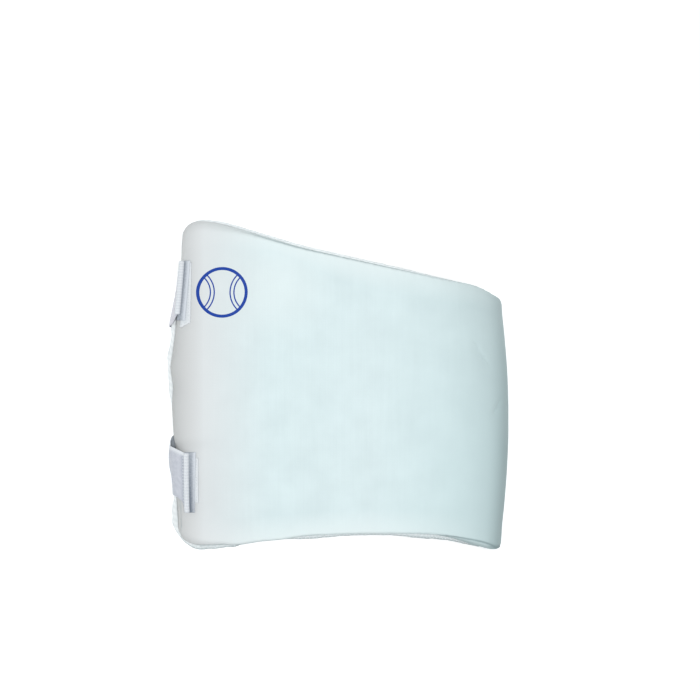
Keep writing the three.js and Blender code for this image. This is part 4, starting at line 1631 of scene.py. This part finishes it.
@dataclass(frozen=True)
class RolledEdge:
    """The tape folded over the sewn edge and whipped with thread: bottom, open edge and top."""

    shape: PanelShape
    root: float = 0.35
    half_height: float = 0.95
    puff: float = 0.45
    clearance: float = 0.2
    back: float = -1.1
    stop: float = 6.0
    taper: float = 12.0
    sides: int = 12
    step: float = 1.6
    least: float = 0.3
    end_share: float = 0.25
    waver: float = 0.08
    waver_wave: float = 14.0
    # How far round the tape its painted shade reaches, on the outer side where it faces down.
    under_shade_turn: float = 0.9
    stitch_pitch: float = 3.2
    stitch_radius: float = 0.36
    stitch_slant: float = 0.8
    stitch_start: Pair = (-0.2, 0.1)
    stitch_stop: Pair = (-0.5, -0.3)
    stitch_rise: Pair = (0.35, 0.6)
    stitch_bite: float = 0.5
    stitched_tape: float = 0.8
    stitched_way: float = -0.7

    def rim(self) -> Array:
        """The rim from the far bottom corner round the open edge to the far top, as along and height."""
        shape = self.shape
        across = shape.spread(shape.span - self.stop, self.step)
        up = shape.shares(self.step)
        bottom = shape.grid(across, np.array([0.0]))
        top = shape.grid(across, np.array([1.0]))
        side = shape.grid(np.array([0.0]), up[1:-1])
        line = np.vstack([bottom.uv[0, ::-1], side.uv[:, 0], top.uv[0]])
        return evenly(line, int(line_length(line) / self.step))

    def build(self) -> list[Piece]:
        """Models and dresses the tape and its thread."""
        shape = self.shape
        line = self.rim()
        way = unit(np.gradient(line, axis=0))
        outward = np.stack([-way[:, 1], way[:, 0]], axis=1)
        travel = np.arange(len(line)) * self.step
        cover, tape = (shape.rim_size(line, outward, column) for column in ("cover", "tape"))
        tape = tape * (1 + self.waver * ripple(travel, self.waver_wave, seed=3.0))
        inner = np.minimum(self.root, cover + self.least)
        outer = np.maximum(cover + tape, inner + self.least)
        ends = np.minimum(travel, travel[-1] - travel)
        shrink = at_least(self.end_share, smooth_step(0.0, self.taper, ends))
        half_height = self.half_height * shrink
        turn = np.linspace(0, 2 * math.pi, self.sides, endpoint=False)
        reach = inner[:, None] + ((outer - inner) * shrink / 2)[:, None] * (1 + np.cos(turn))
        past = np.maximum(reach - cover[:, None] - self.clearance, 0.0)
        level = self.back + half_height[:, None] * np.sin(turn) + self.puff * past * (np.sin(turn) > 0)
        rings = shape.placed(self.rim_points(line, outward, reach, level))
        # Painted shade on the tape's outer side, where it faces down.
        downwards = np.maximum(-outward[:, 1], 0.0) ** 2
        under_shade = downwards[:, None] * smooth_step(0.0, self.under_shade_turn, np.cos(turn))
        roll = add_tube("rolled_edge", rings, travel, 2 * float(outer.mean() + 2 * self.half_height), under_shade)
        dress(roll, EDGE_TWILL, Slot.BINDING, "edge_binding")
        return [roll, self.whip(line, outward, way, cover, tape, self.back + half_height)]

    def rim_points(self, line: Array, outward: Array, reach: Array, out: Array) -> Array:
        """Points past the rim, a row for each place along it."""
        along = line[:, :1] + outward[:, :1] * reach
        height = line[:, 1:] + outward[:, 1:] * reach
        return self.shape.point(along, height, out)

    def whip(
        self, line: Array, outward: Array, way: Array, cover: Array, tape: Array, crest: Array
    ) -> Piece:
        """Whips thread over the tape where it shows along the bottom.

        Args:
            line: The rim, as along and height.
            outward: The ways out of the pattern along it.
            way: The ways along it.
            cover: How far the cover reaches there.
            tape: How far the tape shows there.
            crest: How far out of the pad's back the tape's upper side lies.

        Returns:
            The stitches.
        """
        every = max(int(round(self.stitch_pitch / self.step)), 1)
        shown = np.flatnonzero((tape > self.stitched_tape) & (outward[:, 1] < self.stitched_way))
        shown = shown[shown % every == 0]
        rise = self.puff * np.maximum(tape - self.clearance, 0.0)
        (start, over), (stop, under) = self.stitch_start, self.stitch_stop
        middle_rise, end_rise = self.stitch_rise
        near = self.rim_points(line, outward, (cover + start)[:, None], (crest + over)[:, None])[:, 0]
        slanted = line + way * self.stitch_slant
        past, down = cover + tape + stop, crest + end_rise * rise + under
        far = self.rim_points(slanted, outward, past[:, None], down[:, None])[:, 0]
        above = crest + (over + OFF_CLOTH)
        lifted = self.rim_points(line, outward, cover[:, None], above[:, None])[:, 0]
        stitches = []
        for i in shown:
            reach = far[i] - near[i]
            length = float(np.linalg.norm(reach))
            off = unit(lifted[i] - near[i])
            middle = (near[i] + far[i]) / 2 + middle_rise * rise[i] * off
            stitches.append(Stitch(middle, reach / length, off, length + self.stitch_bite))
        return add_stitches("edge_whipping", stitches, self.shape, self.stitch_radius, Slot.BINDING)


@dataclass(frozen=True)
class StrapRun:
    """The way that one strap takes: from its end on the front, round the open edge, to its sewn end."""

    shape: PanelShape
    cut: StrapCut
    thickness: float = 1.8
    tape: float = 1.2
    fold_out: float = 1.6
    square_end: float = 4.0
    table_turn: tuple[Pair, ...] = ((-0.8, 1.0), (-0.15, 0.0), (1.3, 0.0))
    off_table: float = 0.15
    rise: float = 9.0
    sewn_length: float = 28.0
    sewn_above_end: float = 30.0
    sewn_gap: float = 0.6
    sewn_bend: tuple[Pair, ...] = ((14.0, 9.0), (7.0, 2.0))
    front_parts: tuple[float, ...] = (1.0, 0.7, 0.4, 0.15)
    behind_parts: tuple[float, ...] = (0.1, 0.35, 0.6, 0.85)
    sewn_parts: tuple[float, ...] = (0.0, 0.33, 0.67, 1.0)
    lean_ease: float = 1.6
    neck_turn: Pair = (-0.5, 3.0)
    guide_count: int = 17
    samples: int = 600

    @property
    def lift(self) -> float:
        """How far the strap's middle lies over the pad at its end."""
        return 3 * self.shape.gap + 2 * self.tape + self.thickness / 2

    def line(self, edge: float) -> Array:
        """One lengthwise line of the strap.

        Args:
            edge: How far the line lies from the strap's middle, up the body.

        Returns:
            Its points at even steps, in millimetres from the pattern's origin.
        """
        shape, cut = self.shape, self.cut
        share = edge / shape.strap_width + 0.5
        reach = cut.end_reach.at(share)
        fold = cut.fold_reach.at(share) + cut.fold_bulge * 4 * share * (1 - share)
        narrow = cut.end_width / shape.strap_width
        height = np.array(cut.front + edge * narrow, float)
        floor = shape.table + self.off_table + self.thickness / 2
        foot = shape.edge_point(height, np.array(0.0), np.array(0.0))

        def wall(above: float, off: float = 0.0) -> Array:
            """A point off the lining near the far end."""
            out = -shape.lining - self.sewn_gap - self.thickness / 2 - off
            return shape.point(np.array(shape.span - above), np.array(cut.sewn + edge), np.array(out))

        on_front = [
            shape.over_front(height, np.array(reach * part), self.lift) for part in self.front_parts
        ]
        round_edge = [shape.edge_point(height, np.array(-fold), np.array(self.fold_out))]
        round_edge += [
            np.array([foot[0] + fold * part, 0.0, floor + above]) for part, above in self.table_turn
        ]
        sewn_foot = wall(self.sewn_above_end)
        behind = [
            np.array([foot[0] + (sewn_foot[0] - foot[0]) * part, 0.0, floor + self.rise * part**2])
            for part in self.behind_parts
        ]
        sewn_bend = [wall(self.sewn_above_end - below, off) for below, off in self.sewn_bend]
        sewn = [wall(self.sewn_above_end + self.sewn_length * part) for part in self.sewn_parts]
        points = np.array([*on_front, *round_edge, *behind, *sewn_bend, *sewn])
        points[:, 1] = 0.0
        line = evenly(smooth_curve(points), self.samples)
        travelled = np.linspace(0.0, line_length(line), self.samples)
        turned = travelled[np.argmin(line[:, 0])]
        lean = cut.lean.at(share)
        before = np.clip((turned - travelled) / (turned - self.square_end), 0.0, 1.0)
        neck = cut.neck.at(share)
        round_it = (1 - neck) * (1 - before**self.lean_ease)
        round_it = round_it + neck * smooth_step(*self.neck_turn, travelled - self.square_end)
        settled = (travelled - turned - cut.settle_start) / (cut.settle_stop - cut.settle_start)
        rise = (cut.sewn - cut.front - lean) * np.clip(settled, 0.0, 1.0)
        line[:, 1] = height + (edge * (1 - narrow) + lean) * round_it + rise
        return line

    @cached_property
    def guides(self) -> tuple[Array, Array]:
        """Lengthwise lines across the strap, and the unit ways off its face along them."""
        half_width = self.shape.strap_width / 2
        edges = np.linspace(-half_width, half_width, self.guide_count)
        lines = np.array([self.line(edge) for edge in edges])
        way = unit(np.gradient(lines[:, :, (0, 2)], axis=1))
        return lines, np.stack([way[..., 1], 0 * way[..., 0], -way[..., 0]], axis=-1)

    @cached_property
    def length(self) -> float:
        """The strap's length along its middle."""
        return line_length(self.line(0.0))

    def surface(self, across: Array, steps: Array, lifts: Array | float) -> Array:
        """Points that follow the strap.

        Args:
            across: Places across its width, from its middle.
            steps: Distances from its end on the front.
            lifts: How far off its middle face the points lie, outwards.

        Returns:
            The points, in millimetres from the pattern's origin.
        """
        across, steps, lifts = np.broadcast_arrays(across, steps, lifts)
        lines, offs = self.guides
        guide = (across / self.shape.strap_width + 0.5) * (self.guide_count - 1)
        row = np.clip(guide.astype(int), 0, self.guide_count - 2)
        sample = np.clip(steps / self.length, 0.0, 1.0) * (self.samples - 1)
        column = np.clip(sample.astype(int), 0, self.samples - 2)
        up = (guide - row)[..., None]
        on = (sample - column)[..., None]

        def read(grid: Array) -> Array:
            """Reads a grid between its rows and columns."""
            near = grid[row, column] * (1 - on) + grid[row, column + 1] * on
            far = grid[row + 1, column] * (1 - on) + grid[row + 1, column + 1] * on
            return near * (1 - up) + far * up

        return read(lines) + read(offs) * lifts[..., None]


@dataclass(frozen=True)
class Strap:
    """An elastic strap: ribbed, rolled and sewn at its end, and boxed with stitches where it is sewn on."""

    run: StrapRun
    elastic: RibbedElastic
    cloth: float = 1.4
    ribs: int = 30
    per_rib: int = 4
    rib_depth: float = 0.08
    step: float = 2.4
    fine_step: float = 0.7
    fine_length: float = 46.0
    roll: float = 1.55
    roll_turn: Pair = (-365.0, -90.0)
    roll_points: int = 24
    base_lift: float = -0.2
    settle: Pair = (6.0, 16.0)
    side_round: float = 1.2
    side_edge: float = 0.3
    tick_pitch: float = 2.1
    tick_margin: float = 1.2
    tick_reach: float = 1.3
    tick_sink: float = 0.12
    seam_beside: float = 0.9
    seam_pitch: float = 2.6
    seam_points: int = 30
    thread: float = 0.28
    box_margin: float = 3.0

    @property
    def roll_middle(self) -> float:
        """How far the roll's middle lies from the strap's end."""
        return self.roll + self.cloth / 2

    def path(self) -> tuple[Array, Array]:
        """The sheet's way from its cut edge, round the roll and along the strap.

        Returns:
            Steps along the strap and lifts off its middle face.
        """
        turn = np.radians(np.linspace(*self.roll_turn, self.roll_points))
        near = np.arange(self.roll_middle + self.fine_step, self.fine_length, self.fine_step)
        rest = self.run.length - self.fine_length
        far = np.linspace(self.fine_length, self.run.length, int(rest / self.step))
        steps = np.concatenate([self.roll_middle + self.roll * np.cos(turn), near, far])
        low = self.base_lift * (1 - smooth_step(*self.settle, np.concatenate([near, far])))
        lifts = np.concatenate([self.base_lift + self.roll * (1 + np.sin(turn)), low])
        return steps, lifts

    def build(self) -> list[Piece]:
        """Models and dresses the strap and its stitches."""
        run = self.run
        shape = run.shape
        half_width = shape.strap_width / 2
        across = np.linspace(-half_width, half_width, self.ribs * self.per_rib + 1)
        steps, lifts = self.path()
        middle = run.surface(across[None, :], steps[:, None], lifts[:, None])
        travel = distances_along(middle[:, len(across) // 2])
        inside = np.broadcast_to(half_width - np.abs(across), middle.shape[:2])
        rib = np.abs(np.sin(math.pi * self.ribs * (across + half_width) / shape.strap_width))
        side = shape.rim_share(half_width - np.abs(across), self.side_round)
        half = (self.cloth / 2 - self.rib_depth * (1 - rib)) * at_least(self.side_edge, side)
        offset = sheet_normals(middle) * half[None, :, None]
        uv = np.stack(np.meshgrid(travel, across, indexing="ij"), axis=-1)
        name = f"{run.cut.name}_elastic_strap"
        piece = add_layer(shape, name, middle + offset, middle - offset, uv, inside).piece
        dress(piece, self.elastic, Slot.ELASTIC, f"{run.cut.name}_strap")
        stitches = self.hem_stitches() + self.box_stitches()
        name = f"{run.cut.name}_strap_stitches"
        return [piece, add_stitches(name, stitches, shape, self.thread, Slot.ELASTIC)]

    def hem_stitches(self) -> list[Stitch]:
        """Ticks of thread over the rolled end, and the seam beside it."""
        run = self.run
        half_width = run.shape.strap_width / 2 - self.tick_margin
        across = np.linspace(-half_width, half_width, int(2 * half_width / self.tick_pitch))
        crest = self.base_lift + 2 * self.roll + self.cloth / 2
        steps = self.roll_middle + np.array([-self.tick_reach, self.tick_reach])
        ticks = []
        for place in across:
            ends = run.surface(place, steps, crest - self.tick_sink)
            above = run.surface(place, steps, crest + OFF_CLOTH)
            way = ends[1] - ends[0]
            off = unit((above - ends).mean(axis=0))
            length = float(np.linalg.norm(way))
            ticks.append(Stitch(ends.mean(axis=0), way / length, off, length))
        beside = self.roll_middle + self.roll + self.cloth / 2 + self.seam_beside
        face = self.base_lift + self.cloth / 2
        seam = run.surface(across, beside, face)
        return ticks + stitch_line(seam, run.surface(across, beside, face + OFF_CLOTH), self.seam_pitch)

    def box_stitches(self) -> list[Stitch]:
        """The box and cross that hold the sewn end."""
        run = self.run
        side = run.shape.strap_width / 2 - self.box_margin
        stop = run.length - self.box_margin
        start = run.length - run.sewn_length + self.box_margin
        corners = ((start, -side), (start, side), (stop, side), (stop, -side), (start, -side), (stop, side))
        paths = [*zip(corners, corners[1:]), ((start, side), (stop, -side))]
        face = self.cloth / 2
        stitches = []
        for path in paths:
            steps, across = (np.linspace(*ends, self.seam_points) for ends in zip(*path))
            seam = run.surface(across, steps, face)
            lifted = run.surface(across, steps, face + OFF_CLOTH)
            stitches += stitch_line(seam, lifted, self.seam_pitch)
        return stitches


@dataclass(frozen=True)
class Patch:
    """A patch of loop tape, sewn on the front beside the open edge."""

    run: StrapRun
    step: float = 0.8
    side_round: float = 1.3
    side_edge: float = 0.45
    pile: float = 0.1
    pile_waves: Pair = (2.3, 1.9)
    seam_inset: float = 1.5
    seam_under: float = 0.8
    seam_pitch: float = 2.4
    seam_points: int = 40
    thread: float = 0.26

    def height(self, distance: Array, share: Array) -> Array:
        """The heights of places on the patch, whose lower edge may slant."""
        cut = self.run.cut
        slant = cut.patch_slant * (distance - cut.patch_reach.at(share)) * (1 - share) ** 2
        return cut.patch_middle + cut.patch_width * (share - 0.5) + slant

    def build(self) -> list[Piece]:
        """Models and dresses the patch and its stitches."""
        cut = self.run.cut
        shape = self.run.shape
        reach = max(cut.patch_reach)
        inwards, share = np.meshgrid(
            np.linspace(1.0, 0.0, int(reach / self.step)),
            np.linspace(0.0, 1.0, int(cut.patch_width / self.step) + 1),
        )
        start = cut.patch_start.at(share)
        distance = start + (cut.patch_reach.at(share) - start) * inwards
        height = self.height(distance, share)
        free = cut.patch_reach.at(share) - distance
        inside = np.minimum(cut.patch_width * np.minimum(share, 1 - share), free)
        side = shape.rim_share(inside, self.side_round)
        wave, cross_wave = self.pile_waves
        tangle = ripple(distance + 3 * height, wave, seed=5.0)
        tangle = tangle * ripple(height - 2 * distance, cross_wave, seed=6.0)
        top = shape.gap + self.run.tape * at_least(self.side_edge, side) + self.pile * tangle
        front = shape.over_front(height, distance, top)
        back = shape.over_front(height, distance, shape.gap * 0.5)
        uv = np.stack([distance, height], axis=-1)
        name = f"{cut.name}_loop_patch"
        piece = add_layer(shape, name, front, back, uv, inside).piece
        dress(piece, PATCH_LOOPS, Slot.LOOP_TAPE, f"{cut.name}_patch")
        flat = (np.mean([line_length(row) for row in front]) * MM, cut.patch_width * MM)
        return [piece, self.sew()]

    def sew(self) -> Piece:
        """Sews the patch down along its three free sides."""
        cut = self.run.cut
        shape = self.run.shape
        low = self.seam_inset / cut.patch_width
        under = min(cut.end_reach) * self.seam_under
        face = shape.gap + self.run.tape
        corners = ((under, low), (None, low), (None, 1 - low), (under, 1 - low))
        stitches = []
        for (start, start_share), (stop, stop_share) in zip(corners, corners[1:]):
            share = np.linspace(start_share, stop_share, self.seam_points)
            free_side = cut.patch_reach.at(share) - self.seam_inset
            first = free_side[0] if start is None else start
            last = free_side[-1] if stop is None else stop
            distance = np.linspace(first, last, self.seam_points)
            height = self.height(distance, share)
            seam = shape.over_front(height, distance, face)
            lifted = shape.over_front(height, distance, face + OFF_CLOTH)
            stitches += stitch_line(seam, lifted, self.seam_pitch)
        return add_stitches(f"{cut.name}_patch_stitches", stitches, shape, self.thread, Slot.LOOP_TAPE)


@dataclass(frozen=True)
class HookTape:
    """The hook tape sewn under a strap's end; its free edge shows beside the end, painted dark as the shadow
    there.
    """

    run: StrapRun
    thickness: float = 1.0
    tuck: float = 4.0
    step: float = 0.7
    side: float = -0.4
    side_edge: float = 0.5

    def build(self) -> Piece:
        """Models and dresses the hook tape."""
        run = self.run
        cut = run.cut
        shape = run.shape
        width = cut.end_width - 2 * self.side + cut.hook_drop
        length = self.tuck + max(cut.hook_reach)
        tucked, share = np.meshgrid(
            np.linspace(0.0, 1.0, int(length / self.step) + 2),
            np.linspace(0.0, 1.0, int(width / self.step) + 1),
        )
        inwards = tucked * (self.tuck + cut.hook_reach.at(share))
        distance = cut.end_reach.at(share) + cut.hook_reach.at(share) - inwards
        height = cut.front - cut.hook_drop / 2 + width * (share - 0.5)
        low = 2 * shape.gap + run.tape
        inside = np.minimum(width * np.minimum(share, 1 - share), inwards)
        side = shape.rim_share(inside, self.thickness / 2)
        front = shape.over_front(height, distance, low + self.thickness * at_least(self.side_edge, side))
        back = shape.over_front(height, distance, low)
        # The strap's offset lifts the tape's height in the pattern, which lightens its painted shadow.
        uv = np.stack([inwards, width * share + cut.hook_shadow_offset], axis=-1)
        name = f"{cut.name}_hook_tape"
        piece = add_layer(shape, name, front, back, uv, inside).piece
        dress(piece, HOOK_WEB, Slot.HOOK_TAPE, f"{cut.name}_hook")
        return piece


@dataclass(frozen=True)
class Softbox:
    """One soft light: its size, power, place and the point it faces."""

    name: str
    size: float
    power: float
    place: tuple[float, float, float]
    colour: str = "#ffffff"
    aim: tuple[float, float, float] = (0.0, 0.0, 0.03)

    def build(self) -> None:
        """Adds the light."""
        lamp = bpy.data.lights.new(self.name, "AREA")
        lamp.size = self.size
        lamp.energy = self.power
        lamp.color = linear(self.colour)[:3]
        light = bpy.data.objects.new(self.name, lamp)
        bpy.context.scene.collection.objects.link(light)
        light.location = self.place
        light.rotation_euler = (Vector(self.aim) - Vector(self.place)).to_track_quat("-Z", "Y").to_euler()


@dataclass(frozen=True)
class Studio:
    """The pale floor, the soft light and the camera, square to the guard's breast."""

    aim: tuple[float, float, float] = (-5.6, 35.0, 49.5)
    tilt: float = 17.0
    distance: float = 1217.0
    focal_pixels: float = 1428.57
    image_pixels: float = 700.0
    sensor: float = 36.0
    floor_size: float = 14.0
    floor_colour: str = "#fbfcfc"
    floor_shade: str = "#f6f8f8"
    floor_grain: float = 1.5
    floor_roughness: float = 0.9
    floor_specular: float = 0.1
    floor_glow: float = 0.2
    world_colour: str = "#f4f8fa"
    world_left: float = 0.48
    world_right: float = 0.22
    lights: tuple[Softbox, ...] = (
        Softbox("key_softbox", size=0.42, power=35.0, place=(-0.5, 0.05, 2.2)),
    )

    def build(self) -> None:
        """Sets the stage."""
        self.add_floor()
        self.add_world()
        for light in self.lights:
            light.build()
        self.add_camera()
        view = bpy.context.scene.view_settings
        view.view_transform = "Standard"
        view.look = "None"

    def add_floor(self) -> None:
        """A wide floor of smooth white board, faintly lit from below as on a light table."""
        select()
        bpy.ops.mesh.primitive_plane_add(size=self.floor_size)
        floor = bpy.context.active_object
        floor.name = "floor"
        material = bpy.data.materials.new("white_board")
        material.use_nodes = True
        tree = material.node_tree
        place = add_node(tree, "TexCoord", {}).node.outputs["Object"]
        cloud = add_node(tree, "TexNoise", {0: place, "Scale": self.floor_grain})
        shades = {0: cloud, 6: linear(self.floor_shade), 7: linear(self.floor_colour)}
        tone = add_node(tree, "Mix", shades, data_type="RGBA")
        looks = {
            "Base Color": tone,
            "Roughness": self.floor_roughness,
            "Specular IOR Level": self.floor_specular,
            "Emission Color": linear(self.floor_colour),
            "Emission Strength": self.floor_glow,
        }
        set_inputs(tree.nodes["Principled BSDF"], looks)
        floor.data.materials.append(material)

    def add_world(self) -> None:
        """A soft surround, brighter on the left than on the right."""
        world = bpy.data.worlds.new("studio")
        world.use_nodes = True
        tree = world.node_tree
        way = add_node(tree, "TexCoord", {}).node.outputs["Generated"]
        rightwards = add_node(tree, "SeparateXYZ", {0: way})
        level = {0: rightwards, 1: -1.0, 2: 1.0, 3: self.world_left, 4: self.world_right}
        looks = {"Color": linear(self.world_colour), "Strength": add_node(tree, "MapRange", level)}
        set_inputs(tree.nodes["Background"], looks)
        bpy.context.scene.world = world

    def add_camera(self) -> None:
        """A camera over the open edge, square to the breast."""
        lens = bpy.data.cameras.new("photo_camera")
        lens.sensor_width = self.sensor
        lens.lens = self.focal_pixels / self.image_pixels * self.sensor
        camera = bpy.data.objects.new("photo_camera", lens)
        bpy.context.scene.collection.objects.link(camera)
        turn = Matrix.Rotation(math.radians(-self.tilt), 4, "Y")
        aim = Vector(self.aim) * MM
        camera.matrix_world = Matrix.Translation(aim) @ turn @ Matrix.Translation((0, 0, self.distance * MM))
        bpy.context.scene.camera = camera


def main() -> None:
    """Builds the guard's pieces in order and sets the stage."""
    logging.basicConfig(level=logging.INFO, format="%(name)s: %(message)s")
    shape = PanelShape()
    Cover(shape).build()
    Lining(shape).build()
    RolledEdge(shape).build()
    for cut, elastic in zip(shape.straps, (PALE_ELASTIC, STRAP_ELASTIC)):
        run = StrapRun(shape, cut)
        Strap(run, elastic).build()
        Patch(run).build()
        HookTape(run).build()
    Studio().build()


if __name__ == "__main__":
    main()
